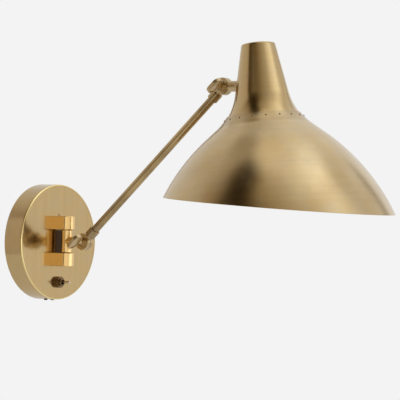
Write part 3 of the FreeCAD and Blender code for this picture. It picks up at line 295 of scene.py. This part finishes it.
CLOUDS = {"scale": 17.0, "detail": 4.0, "roughness": 0.55}
PATCHES = {"scale": 46.0, "detail": 5.0, "roughness": 0.6}
SPECKS = {"scale": 420.0, "detail": 3.0, "roughness": 0.7}
PLATING = {"scale": 900.0, "detail": 3.0, "roughness": 0.6}
DULLNESS = {"scale": 60.0, "detail": 3.0, "roughness": 0.5}
MOTTLE = {"scale": 300.0, "detail": 4.0, "roughness": 0.6}
FROSTING = {"scale": 500.0, "detail": 3.0, "roughness": 0.6}
LONG_GRAIN = 0.04
GRAIN_DEPTH = 0.02 * MM
MOTTLE_DEPTH = 0.03 * MM


def rings(metal, centre, tilt):
    """Vector that is the same all round a turned piece, so that its grain is rings."""
    x, y, z = metal.parts(metal.about(centre, tilt))
    radius = (x * x + y * y) ** 0.5
    return metal.vector(radius, z, 0.0)


def lengthwise(metal, tilt):
    """Vector for grain that runs along a tube or block whose axis is tilted about X."""
    x, y, z = metal.parts(metal.about(ORIGIN, tilt))
    return metal.vector(x, y, z * LONG_GRAIN)


def aged_brass(name, colours, across, grain_scale=1400.0, roughness=None, anisotropic=0.0,
               turn=0.0, tarnish=0.18, base=None, warm=None, streaks=0.16, marks=None):
    """Aged brass: brushed grain, cloudy patina and a little tarnish. across(metal) gives the way
    of the brushing, and marks(metal, tone) adds one piece's own marks, painted highlights and
    painted shade among them."""
    metal = Surface(name)
    grain = metal.grain(across(metal), grain_scale)
    clouds = metal.noise(metal.place, **CLOUDS).between(0.36, 0.66)
    patches = metal.noise(metal.place, **PATCHES).between(0.45, 0.75)
    specks = metal.noise(metal.place, **SPECKS).between(0.62, 0.80)
    tone = metal.blend(clouds, base or colours.brass, warm or colours.brass_warm)
    tone = metal.blend(patches * 0.35, tone, colours.brass_grey)
    tone = metal.blend((1 - grain).between(0.35, 0.75) * tarnish + specks * 0.10, tone,
                       colours.tarnish)
    if marks:
        tone = marks(metal, tone)
    rough = roughness or colours.roughness
    return metal.give(
        Base_Color=tone, Metallic=1.0,
        Roughness=(grain - 0.5) * streaks + patches * 0.05 + rough,
        Anisotropic=anisotropic, Anisotropic_Rotation=turn,
        Coat_Weight=0.12, Coat_Roughness=0.22, Coat_IOR=1.5,
        Normal=metal.bumped(grain, GRAIN_DEPTH, 0.35))


def spun_brass(name, colours, **own):
    """Aged brass with the fine rings that spinning leaves round the shade."""
    return aged_brass(name, colours, shade_rings, 900.0, anisotropic=0.5, turn=0.25,
                      tarnish=0.10, streaks=0.07, **own)


def plated(name, shade, roughness):
    """Plated or darkened steel with a fine even grain."""
    metal = Surface(name)
    grain = metal.noise(metal.place, **PLATING)
    dull = metal.noise(metal.place, **DULLNESS).between(0.4, 0.7)
    brightened = tuple(min(1.0, part * 1.5 + 0.02) for part in shade)
    return metal.give(Base_Color=metal.blend(grain.between(0.5, 0.8) * 0.5, shade, brightened),
                      Metallic=1.0, Roughness=dull * 0.12 + grain * 0.08 + roughness,
                      Normal=metal.bumped(grain, GRAIN_DEPTH, 0.3))


def moulded(name, shade, roughness=0.5):
    """Moulded plastic or fibre with a faint mottle."""
    plastic = Surface(name)
    mottle = plastic.noise(plastic.place, **MOTTLE)
    darker = tuple(part * 0.7 for part in shade)
    return plastic.give(Base_Color=plastic.blend(mottle.between(0.35, 0.7), darker, shade),
                        Roughness=mottle * 0.2 + roughness,
                        Normal=plastic.bumped(mottle, MOTTLE_DEPTH, 0.3))


def frosted(name, shade, deeper):
    """Frosted glass of the bulb."""
    glass = Surface(name)
    haze = glass.noise(glass.place, **FROSTING)
    return glass.give(Base_Color=glass.blend(haze.between(0.3, 0.7), deeper, shade),
                      Roughness=haze * 0.1 + 0.38, Transmission_Weight=0.35, IOR=1.45)


# ---------------------------------------------------------------- mesh tools


MERGED = 1e-7           # points nearer than this are one point
SLIVER = 1e-8           # edges shorter than this go
SHARP_EDGE = math.radians(35)
SHARP_RIVET = math.radians(60)
SHADE_STEPS, PLATE_STEPS, RIVET_STEPS = 240, 220, 16

# rows of faces: down the bell, first square to its axis, then slanting to the rim
SQUARE_ROWS, SLANTED_ROWS = 34, 40
SQUARE_LENGTH = 20 * MM
LIP_SHARE = 0.3         # rounding of the rim, as a share of the sheet
LONGEST_BELL = 200 * MM
HALVINGS = 40           # of the search for the rim
# rows of faces over the neck's top, round its edge and down its side
TOP_ROWS, TOP_EDGE_ROWS, NECK_ROWS = 14, 5, 90
TOP_EDGE_BOW = 0.18     # how far the top's edge bulges, as a share of its rounding
RIVET_ROWS = 6
# rows of faces on the plate's rim, round its front edge and across its face
RIM_ROWS, FRONT_EDGE_ROWS, FACE_ROWS = 8, 8, 24


def new_object(name, mesh, material):
    mesh.materials.append(material)
    made = bpy.data.objects.new(name, mesh)
    bpy.context.scene.collection.objects.link(made)
    return made


def turned_mesh(name, section, steps, sharp=SHARP_EDGE):
    """Mesh of a closed section carried round its axis. section(turn) gives the points
    (radius, height) of the section at one angle."""
    shape = bmesh.new()
    loops = []
    for step in range(steps):
        turn = 2 * math.pi * step / steps
        loops.append([shape.verts.new((radius * math.cos(turn), radius * math.sin(turn), height))
                      for radius, height in section(turn)])
    for step in range(steps):
        here, there = loops[step], loops[(step + 1) % steps]
        for index in range(len(here)):
            low, high = index, (index + 1) % len(here)
            shape.faces.new((here[low], there[low], there[high], here[high]))
    bmesh.ops.remove_doubles(shape, verts=shape.verts, dist=MERGED)
    bmesh.ops.dissolve_degenerate(shape, edges=shape.edges, dist=SLIVER)
    bmesh.ops.recalc_face_normals(shape, faces=shape.faces)
    mesh = bpy.data.meshes.new(name)
    shape.to_mesh(mesh)
    shape.free()
    mesh.polygons.foreach_set("use_smooth", [True] * len(mesh.polygons))
    mesh.set_sharp_from_angle(angle=sharp)
    return mesh


def arc(centre, radius, start, end, steps):
    """Points on an arc of a section, from one angle to another, both in degrees."""
    points = []
    for step in range(steps + 1):
        turn = math.radians(start + (end - start) * step / steps)
        points.append((centre[0] + radius * math.cos(turn), centre[1] + radius * math.sin(turn)))
    return points


class FormLine:
    """Line between neck and bell: outside of the neck, inside of the bell."""

    def __init__(self, sizes):
        self.sizes = sizes
        first, steep = sizes.neck_angle, sizes.flare_angle
        self.neck_end = sizes.neck_straight / math.cos(first)
        self.flare_end = self.neck_end + sizes.flare_radius * (steep - first)
        self.bell_start = self.flare_end + sizes.straight

    def at(self, along, out=0.0):
        """(radius, height, slope) at a length from the neck's top, and out from the line."""
        sizes = self.sizes
        first, steep = sizes.neck_angle, sizes.flare_angle
        run = min(along, self.neck_end)
        radius = sizes.top_radius + run * math.sin(first)
        height = sizes.neck_rise - run * math.cos(first)
        slope = first
        if along > self.neck_end:
            slope = first + (min(along, self.flare_end) - self.neck_end) / sizes.flare_radius
            radius += sizes.flare_radius * (math.cos(first) - math.cos(slope))
            height -= sizes.flare_radius * (math.sin(slope) - math.sin(first))
        if along > self.flare_end:
            run = min(along, self.bell_start) - self.flare_end
            radius += run * math.sin(steep)
            height -= run * math.cos(steep)
        if along > self.bell_start:
            slope = steep - (along - self.bell_start) / sizes.bell_radius
            radius += sizes.bell_radius * (math.cos(slope) - math.cos(steep))
            height -= sizes.bell_radius * (math.sin(steep) - math.sin(slope))
        return radius + out * math.cos(slope), height + out * math.sin(slope), slope

    def on_flare(self, slope):
        """Length from the neck's top at which the flare has a slope."""
        return self.neck_end + (slope - self.sizes.neck_angle) * self.sizes.flare_radius

    def rim(self, turn, out=0.0):
        """Length from the neck's top at which the slanted rim cuts the sheet."""
        sizes = self.sizes
        level = sizes.neck_rise - sizes.rim_depth
        slant = math.tan(sizes.rim_tilt) * math.sin(turn)
        low, high = self.bell_start, self.bell_start + LONGEST_BELL
        for _ in range(HALVINGS):
            middle = (low + high) / 2
            radius, height, _ = self.at(middle, out)
            if height > level + radius * slant:
                low = middle
            else:
                high = middle
        return low


def stub_level(sizes):
    """Point on the shade's axis that is level with the upper swivel."""
    return UPPER_SWIVEL + Vector((0.0, -sizes.reach, 0.0))


def shade_matrix(sizes):
    """Places a shape that is drawn round Z on the leaning axis of the shade."""
    return Matrix.Translation(stub_level(sizes)) @ Matrix.Rotation(-sizes.lean, 4, "X")


def bell_section(sizes):
    """Section of the bell: sheet on the outside of the form line, cut at the rim."""
    form = FormLine(sizes)
    start, bend = form.on_flare(sizes.seam_angle), form.bell_start + SQUARE_LENGTH
    lip = sizes.sheet * LIP_SHARE

    def section(turn):
        outer, inner = form.rim(turn, sizes.sheet) - lip, form.rim(turn) - lip
        points = [form.at(start, sizes.sheet * part)[:2] for part in (0.0, 0.7, 1.0)]
        rows = [start + lip + (bend - start - lip) * step / SQUARE_ROWS
                for step in range(SQUARE_ROWS)]
        for end, out, back in ((outer, sizes.sheet, False), (inner, 0.0, True)):
            side = rows + [bend + (end - bend) * step / SLANTED_ROWS
                           for step in range(SLANTED_ROWS + 1)]
            side = [form.at(place, out)[:2] for place in side]
            points += reversed(side) if back else side
            if not back:
                for along, part in ((lip * 0.7, 0.85), (lip, 0.5), (lip * 0.7, 0.15)):
                    place = outer + (inner - outer) * (1 - part) + along
                    points.append(form.at(place, sizes.sheet * part)[:2])
        return points

    return section


def neck_section(sizes):
    """Section of the neck: closed top, straight taper and flare inside the bell."""
    form = FormLine(sizes)
    end = form.on_flare(sizes.lap_angle)
    flat = sizes.top_radius - sizes.top_round
    dome = (flat * flat + sizes.top_dome ** 2) / (2 * sizes.top_dome)
    top = sizes.neck_rise + sizes.top_dome
    outside = []
    for step in range(TOP_ROWS + 1):
        radius = flat * step / TOP_ROWS
        outside.append((radius, top - dome + math.sqrt(dome * dome - radius * radius)))
    edge = form.at(sizes.top_round)[:2]
    for step in range(1, TOP_EDGE_ROWS):
        part = step / TOP_EDGE_ROWS
        bow = 4 * part * (1 - part) * TOP_EDGE_BOW * sizes.top_round
        outside.append((flat + (edge[0] - flat) * part + bow,
                        sizes.neck_rise + (edge[1] - sizes.neck_rise) * part + bow))
    for step in range(NECK_ROWS + 1):
        place = sizes.top_round + (end - sizes.top_round) * step / NECK_ROWS
        outside.append(form.at(place)[:2])
    inside = []
    for step in range(NECK_ROWS + 1):
        place = end + (sizes.top_round + sizes.sheet - end) * step / NECK_ROWS
        inside.append(form.at(place, -sizes.sheet)[:2])
    inside.append((inside[-1][0] - sizes.top_round, sizes.neck_rise - sizes.sheet))
    inside.append((0.0, sizes.neck_rise - sizes.sheet))
    points = outside + inside
    return lambda turn: points


# ---------------------------------------------------------------- finishes


# painted shade: dark strip of the plate behind the hinge, in place of the hinge's shade and dark
# reflection there; from its middle to where it begins to fade, and to where it has faded
BEHIND_HINGE_ACROSS = (5.5 * MM, 7.5 * MM)
BEHIND_HINGE_UP = (12.5 * MM, 15.0 * MM)
SMALL_SLANT = 0.4       # turn of the small pieces' grain, in radians


def shade_rings(metal):
    """Grain in rings round the shade's axis."""
    sizes = bpy.context.scene.lamp_shade
    return rings(metal, stub_level(sizes), sizes.lean)


def seam_band_and_shadow(metal, tone):
    """Darker band over the lap of the riveted seam, and a painted shadow line at the bell's upper
    edge.
    """
    scene = bpy.context.scene
    sizes, form = scene.lamp_shade, FormLine(scene.lamp_shade)
    high = form.at(form.on_flare(sizes.seam_angle))[1]
    low = form.at(form.on_flare(sizes.lap_angle))[1]
    height = metal.parts(metal.about(stub_level(sizes), sizes.lean))[2]
    above = height.between(high - 0.5 * MM, high + 1.5 * MM)
    band = height.between(low - 4 * MM, low) * (1 - above)
    # painted shadow: darker line at the top of the bell, just under its upper edge
    edge = height.between(high - 1.2 * MM, high - 0.4 * MM)
    return metal.blend(band * 0.22 + edge * 0.08, tone, scene.lamp_finish.tarnish)


def plate_painted_light(metal, tone):
    """Painted highlight along the plate's front edge, and painted shade on the plate behind the
    hinge.
    """
    scene = bpy.context.scene
    x, y, z = metal.parts(metal.place)
    out = 0 - y
    radius = (x * x + z * z) ** 0.5
    size, depth = scene.lamp_plate.radius, scene.lamp_plate.depth
    # painted highlight: brighter colour along the plate's rounded front edge
    front = out.between(depth - 1.2 * MM, depth - 0.4 * MM)
    brightened = front * radius.between(size - 1.4 * MM, size - 0.8 * MM)
    # painted shade: dark strip on the plate's face behind the hinge
    beside = (x * x).between(*(edge ** 2 for edge in BEHIND_HINGE_ACROSS))
    beyond = (z * z).between(*(edge ** 2 for edge in BEHIND_HINGE_UP))
    face = out.between(depth - 1.0 * MM, depth - 0.5 * MM)
    behind = (1 - beside) * (1 - beyond) * face
    tone = metal.blend(behind * 0.98, tone, scene.lamp_finish.painted_hinge_shade)
    return metal.blend(brightened, tone, scene.lamp_finish.edge)


def arm_grain(metal):
    """Grain along the arm."""
    return lengthwise(metal, ARM_RISE - math.pi / 2)


def upright_grain(metal):
    """Grain straight up, on the hinge and on the plate."""
    return lengthwise(metal, 0.0)


def small_grain(metal):
    """Even grain of the small pieces."""
    return metal.about(ORIGIN, SMALL_SLANT)


def dress(names, material):
    """Gives pieces of the frame their material."""
    for name in names:
        data = frame["nodes"][name].data
        data.materials.clear()
        data.materials.append(material)


class LAMP_OT_shade(bpy.types.Operator):
    """Spin the neck and the bell of the shade, and set the rivets round their seam"""

    bl_idname = "lamp.shade"
    bl_label = "Spun shade"

    def execute(self, context):
        sizes, colours = context.scene.lamp_shade, context.scene.lamp_finish
        bell_brass = spun_brass("spun_brass", colours, marks=seam_band_and_shadow)
        neck_brass = spun_brass("spun_neck_brass", colours, base=colours.brass_warm)
        place = shade_matrix(sizes)
        for name, section, node, material in (
                ("spun_bell", bell_section(sizes), "shade_bell", bell_brass),
                ("spun_neck", neck_section(sizes), "shade_neck", neck_brass)):
            mesh = turned_mesh(name, section, SHADE_STEPS)
            mesh.transform(place)
            piece = new_object(name, mesh, material)
            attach(piece, "shade")
            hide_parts(node)
        self.set_rivets(sizes, colours, place)
        return {"FINISHED"}

    def set_rivets(self, sizes, colours, place):
        """Low round heads on the bell, evenly round the seam."""
        form = FormLine(sizes)
        radius, height, slope = form.at(form.on_flare(sizes.rivet_angle), sizes.sheet)
        wide, tall = sizes.rivet_radius, sizes.rivet_height
        profile = [(0.0, 0.0), (wide, 0.0)]
        for step in range(1, RIVET_ROWS):
            turn = math.pi / 2 * step / RIVET_ROWS
            profile.append((wide * math.cos(turn), tall * math.sin(turn)))
        profile.append((0.0, tall))
        outwards = Matrix.Rotation(math.pi / 2 - slope, 4, "Y")
        seat = Matrix.Translation((radius, 0.0, height)) @ outwards
        joined = bmesh.new()
        for index in range(sizes.rivets):
            head = turned_mesh("head", lambda turn: profile, RIVET_STEPS, SHARP_RIVET)
            head.transform(Matrix.Rotation(2 * math.pi * index / sizes.rivets, 4, "Z") @ seat)
            joined.from_mesh(head)
            bpy.data.meshes.remove(head)
        mesh = bpy.data.meshes.new("seam_rivets")
        joined.to_mesh(mesh)
        joined.free()
        mesh.polygons.foreach_set("use_smooth", [True] * len(mesh.polygons))
        mesh.transform(place)
        piece = new_object("seam_rivets", mesh,
                           aged_brass("rivet_brass", colours, small_grain, 2500.0,
                                      roughness=0.30, tarnish=0.7, base=colours.brass_shaded,
                                      warm=colours.tarnish))
        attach(piece, "shade")
        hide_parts("shade_rivets")


class LAMP_OT_backplate(bpy.types.Operator):
    """Turn the round backplate with its crisp front edge"""

    bl_idname = "lamp.backplate"
    bl_label = "Backplate"

    def execute(self, context):
        sizes, colours = context.scene.lamp_plate, context.scene.lamp_finish
        inner = sizes.radius - sizes.sheet
        bend = (sizes.radius - sizes.edge, sizes.depth - sizes.edge)
        points = [(inner, 0.0), (sizes.radius, 0.0)]
        points += [(sizes.radius, bend[1] * step / RIM_ROWS) for step in range(1, RIM_ROWS)]
        points += arc(bend, sizes.edge, 0, 90, FRONT_EDGE_ROWS)
        points += [(bend[0] * step / FACE_ROWS, sizes.depth)
                   for step in reversed(range(FACE_ROWS))]
        points += [(0.0, sizes.depth - sizes.sheet), (inner, sizes.depth - sizes.sheet)]
        mesh = turned_mesh("round_backplate", lambda turn: points, PLATE_STEPS)
        mesh.transform(Matrix.Rotation(math.pi / 2, 4, "X"))
        piece = new_object("round_backplate", mesh,
                           aged_brass("plate_brass", colours, upright_grain, 700.0,
                                      roughness=0.15, tarnish=0.14, base=colours.brass_warm,
                                      marks=plate_painted_light))
        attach(piece, "wall")
        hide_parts("canopy")
        return {"FINISHED"}


class LAMP_OT_metals(bpy.types.Operator):
    """Give the hinge, the swivels, the arm and the keys their brass"""

    bl_idname = "lamp.metals"
    bl_label = "Arm and hinge finishes"

    def execute(self, context):
        colours = context.scene.lamp_finish
        dress(("upper_knuckle", "lower_knuckle", "swivel_barrel"),
              aged_brass("polished_hinge", colours, upright_grain, 1600.0,
                         roughness=colours.polish, tarnish=0.06, base=colours.polished,
                         warm=colours.polished))
        dress(("arm_tube", "lower_ferrule", "upper_ferrule"),
              aged_brass("arm_brass", colours, arm_grain, 1300.0, roughness=0.24, tarnish=0.30,
                         base=colours.brass_shaded, warm=colours.brass_warm))
        dress(("swivel_ear", "lower_arm_ear", "upper_arm_ear", "neck_ear", "saddle_washer",
               "lower_thumb_key", "upper_thumb_key", "lower_key_washer", "upper_key_washer",
               "plate_pin", "hinge_pivot_tube", "socket_cap", "socket_shell"),
              aged_brass("joint_brass", colours, small_grain, 900.0, roughness=0.26,
                         tarnish=0.25))
        dress(("switch_nut", "switch_bushing"), plated("dark_switch_metal", colours.dark, 0.32))
        dress(("canopy_set_screws",), plated("dark_screw_metal", colours.screw, 0.38))
        dress(("switch_lever", "screw_contact", "centre_contact"),
              plated("pale_lever_metal", colours.pale, 0.18))
        dress(("mounting_pan", "knuckle_screws", "neck_nipple", "neck_lock_nut",
               "socket_bracket", "socket_stud", "socket_stud_nut"),
              plated("zinc_plate", colours.zinc, 0.36))
        dress(("bulb_base",), plated("nickel_plate", colours.nickel, 0.22))
        dress(("ground_screw",), plated("green_plate", colours.green, 0.35))
        return {"FINISHED"}


class LAMP_OT_electrics(bpy.types.Operator):
    """Give the switch, the wiring, the lampholder and the bulb their materials"""

    bl_idname = "lamp.electrics"
    bl_label = "Switch, wiring and bulb"

    def execute(self, context):
        colours = context.scene.lamp_finish
        dress(("switch_body", "switch_leads"), moulded("black_moulding", colours.black))
        dress(("wire_connectors",), moulded("connector_moulding", colours.connector, 0.42))
        dress(("socket_core", "socket_liner"), moulded("insulator", colours.insulator, 0.6))
        dress(("arm_cable", "socket_leads"), moulded("cable_sheath", colours.sheath, 0.45))
        dress(("hinge_washers", "lower_friction_washer", "upper_friction_washer"),
              moulded("fibre_washer", colours.fibre, 0.7))
        dress(("bulb_glass",), frosted("frosted_glass", colours.glass, colours.haze))
        return {"FINISHED"}


# ---------------------------------------------------------------- studio and camera


def stops(*pairs):
    """Ramp stops from degrees round the lamp, with the camera at 0 and its right positive."""
    return [(degrees / 360 + 0.5, tone) for degrees, tone in pairs]


# tones of the studio round the lamp: at its level, above it and high above it
STUDIO_LOW = stops(
    (-180, (0.78, 0.77, 0.76)), (-130, (0.70, 0.68, 0.66)), (-88, (0.64, 0.58, 0.53)),
    (-73, (0.56, 0.49, 0.42)), (-68, (0.10, 0.068, 0.03)), (-48, (0.12, 0.085, 0.04)),
    (-22, (0.19, 0.145, 0.075)), (-4, (0.38, 0.31, 0.23)), (30, (0.60, 0.56, 0.50)),
    (50, (1.30, 1.30, 1.30)), (78, (1.60, 1.62, 1.68)), (94, (0.98, 0.98, 0.98)),
    (108, (0.76, 0.72, 0.66)), (133, (0.80, 0.79, 0.77)),
    (141, (0.40, 0.37, 0.33)), (149, (0.92, 0.92, 0.93)), (180, (0.80, 0.79, 0.78)))
STUDIO_MID = stops(
    (-180, (0.72, 0.71, 0.70)), (-138, (0.70, 0.66, 0.60)), (-110, (0.60, 0.55, 0.50)),
    (-84, (0.36, 0.30, 0.23)), (-70, (0.05, 0.032, 0.012)), (-48, (0.02, 0.012, 0.003)),
    (-32, (0.08, 0.055, 0.022)), (-20, (0.21, 0.16, 0.09)), (0, (0.38, 0.33, 0.25)),
    (18, (0.50, 0.46, 0.38)), (50, (0.78, 0.75, 0.70)), (80, (0.98, 0.97, 0.95)),
    (110, (0.74, 0.72, 0.70)), (150, (0.98, 1.00, 1.03)), (180, (0.72, 0.71, 0.70)))
STUDIO_HIGH = stops(
    (-180, (0.76, 0.74, 0.72)), (-152, (0.74, 0.69, 0.62)), (-137, (0.30, 0.24, 0.14)),
    (-118, (0.48, 0.43, 0.35)), (-98, (0.50, 0.43, 0.35)), (-85, (0.07, 0.042, 0.012)),
    (-62, (0.0, 0.0, 0.0)), (-47, (0.09, 0.06, 0.02)), (-27, (0.46, 0.38, 0.27)),
    (10, (0.62, 0.56, 0.46)), (45, (0.98, 0.95, 0.88)), (95, (1.36, 1.37, 1.38)),
    (140, (1.05, 1.06, 1.08)), (180, (0.76, 0.74, 0.72)))
# heights on the sky, as the sine of the angle above the level, over which each takes over
RISE_TO_MID, RISE_TO_HIGH, RISE_TO_ZENITH = (0.49, 0.62), (0.76, 0.90), (0.94, 0.995)
ZENITH = (0.98, 0.93, 0.84)
GROUND, FALL_TO_GROUND = (0.52, 0.48, 0.44), (0.0, 0.5)
# strip of light in front of the lamp, at its level
STRIP, STRIP_TOP, STRIP_AHEAD = (0.92, 0.86, 0.74), (0.04, 0.20), (0.80, 0.97)

PICTURE = 400           # side of the picture, in pixels
LIGHTS_AIM = (0.0, -0.25, 0.1)
KEY_PLACE, KEY_SIDE = (1.0, -2.4, 2.9), 1.6
FILL_PLACE, FILL_SIDE = (-2.6, -0.5, 0.6), 1.4
FLOOR_CENTRE, FLOOR_RADIUS, FLOOR_STEPS = (0.0, -0.2, -0.5), 1.5, 96
FLOOR_PALE, FLOOR_DULL = (0.97, 0.97, 0.97), (0.90, 0.90, 0.90)


class LAMP_OT_stage(bpy.types.Operator):
    """Set up the pale floor, the studio light and the camera"""

    bl_idname = "lamp.stage"
    bl_label = "Studio and camera"

    def execute(self, context):
        settings = context.scene.lamp_stage
        self.add_camera(context, settings)
        self.add_world(context, settings)
        self.add_floor(settings)
        self.add_light("key_light", KEY_PLACE, KEY_SIDE, settings.key)
        self.add_light("fill_light", FILL_PLACE, FILL_SIDE, settings.fill)
        context.scene.view_settings.view_transform = "Standard"
        return {"FINISHED"}

    def add_camera(self, context, settings):
        """Camera that puts the backplate's centre at its place in the square picture."""
        around, above, roll = settings.azimuth, settings.elevation, settings.roll
        back = Vector((math.sin(around) * math.cos(above), -math.cos(around) * math.cos(above),
                       math.sin(above)))
        right = Vector((math.cos(around), math.sin(around), 0.0))
        up = back.cross(right)
        right, up = (right * math.cos(roll) + up * math.sin(roll),
                     up * math.cos(roll) - right * math.sin(roll))
        across = (settings.plate_x - PICTURE / 2) / settings.pixels_per_metre
        rise = (PICTURE / 2 - settings.plate_y) / settings.pixels_per_metre
        plate = Vector((0.0, -context.scene.lamp_plate.depth, 0.0))
        data = bpy.data.cameras.new("camera")
        data.sensor_width = 36.0
        magnified = settings.pixels_per_metre * settings.distance / PICTURE
        data.lens = magnified * data.sensor_width
        data.clip_end = 50.0
        camera = bpy.data.objects.new("camera", data)
        context.scene.collection.objects.link(camera)
        turn = Matrix((right, up, back)).transposed().to_4x4()
        spot = plate + back * settings.distance - right * across - up * rise
        camera.matrix_world = Matrix.Translation(spot) @ turn
        context.scene.camera = camera

    def add_world(self, context, settings):
        """Pale backdrop for the camera, and a studio that the brass reflects."""
        world = bpy.data.worlds.new("studio")
        context.scene.world = world
        sky = Finish(world)
        x, y, z = sky.parts(sky.node("ShaderNodeTexCoord", {}, {}, 0))
        azimuth = settings.azimuth
        ahead = x * math.sin(azimuth) - y * math.cos(azimuth)
        right = x * math.cos(azimuth) + y * math.sin(azimuth)
        turn = right.maths("ARCTAN2", right, ahead) / (2 * math.pi) + 0.5
        low, middle, high = (sky.node("ShaderNodeValToRGB", {"stops": tones}, {"Fac": turn})
                             for tones in (STUDIO_LOW, STUDIO_MID, STUDIO_HIGH))
        strip = (1 - z.between(*STRIP_TOP)) * ahead.between(*STRIP_AHEAD)
        studio = sky.blend(strip, low, STRIP)
        for rise, tones in ((RISE_TO_MID, middle), (RISE_TO_HIGH, high), (RISE_TO_ZENITH, ZENITH)):
            studio = sky.blend(z.between(*rise), studio, tones)
        studio = sky.blend((0 - z).between(*FALL_TO_GROUND), studio, GROUND)
        camera_ray = sky.node("ShaderNodeLightPath", {}, {}, 0)
        background = sky.tree.nodes["Background"]
        sky.feed(background.inputs["Color"],
                 sky.blend(camera_ray, studio, (settings.backdrop,) * 3))

    def add_floor(self, settings):
        """Plain pale disc under the lamp, below the picture."""
        shape = bmesh.new()
        bmesh.ops.create_circle(shape, cap_ends=True, segments=FLOOR_STEPS, radius=FLOOR_RADIUS)
        mesh = bpy.data.meshes.new("floor")
        shape.to_mesh(mesh)
        shape.free()
        mesh.transform(Matrix.Translation(FLOOR_CENTRE))
        pale = Surface("pale_floor")
        mottle = pale.noise(pale.place, **DULLNESS) * 0.05
        pale.give(Base_Color=pale.blend(mottle, FLOOR_PALE, FLOOR_DULL), Roughness=0.8)
        new_object("floor", mesh, pale.owner)

    def add_light(self, name, spot, side, power):
        """Square light that is turned to the lamp."""
        data = bpy.data.lights.new(name, "AREA")
        data.shape = "SQUARE"
        data.size = side
        data.energy = power
        light = bpy.data.objects.new(name, data)
        light.location = spot
        towards = Vector(LIGHTS_AIM) - Vector(spot)
        light.rotation_euler = towards.to_track_quat("-Z", "Y").to_euler()
        bpy.context.scene.collection.objects.link(light)


class LAMP_PT_panel(bpy.types.Panel):
    """The wall lamp's pieces, sizes and finishes"""

    bl_idname = "LAMP_PT_panel"
    bl_label = "Wall Lamp"
    bl_space_type = "VIEW_3D"
    bl_region_type = "UI"
    bl_category = "Wall Lamp"

    def draw(self, context):
        for operator in OPERATORS:
            self.layout.operator(operator.bl_idname)
        for group in SETTINGS:
            owner = getattr(context.scene, group)
            column = self.layout.column()
            for name in owner.bl_rna.properties.keys():
                if name not in ("rna_type", "name"):
                    column.prop(owner, name)


SETTINGS = {"lamp_shade": ShadeSizes, "lamp_plate": PlateSizes, "lamp_finish": FinishColours,
            "lamp_stage": StageSettings}
OPERATORS = (LAMP_OT_shade, LAMP_OT_backplate, LAMP_OT_metals, LAMP_OT_electrics, LAMP_OT_stage)


def register():
    for name, group in SETTINGS.items():
        bpy.utils.register_class(group)
        setattr(bpy.types.Scene, name, PointerProperty(type=group))
    for operator in OPERATORS:
        bpy.utils.register_class(operator)
    bpy.utils.register_class(LAMP_PT_panel)


def unregister():
    bpy.utils.unregister_class(LAMP_PT_panel)
    for operator in reversed(OPERATORS):
        bpy.utils.unregister_class(operator)
    for name, group in reversed(SETTINGS.items()):
        delattr(bpy.types.Scene, name)
        bpy.utils.unregister_class(group)


def main():
    """Build the whole lamp and its stage."""
    register()
    bpy.ops.lamp.shade()
    bpy.ops.lamp.backplate()
    bpy.ops.lamp.metals()
    bpy.ops.lamp.electrics()
    bpy.ops.lamp.stage()


if __name__ == "__main__":
    main()
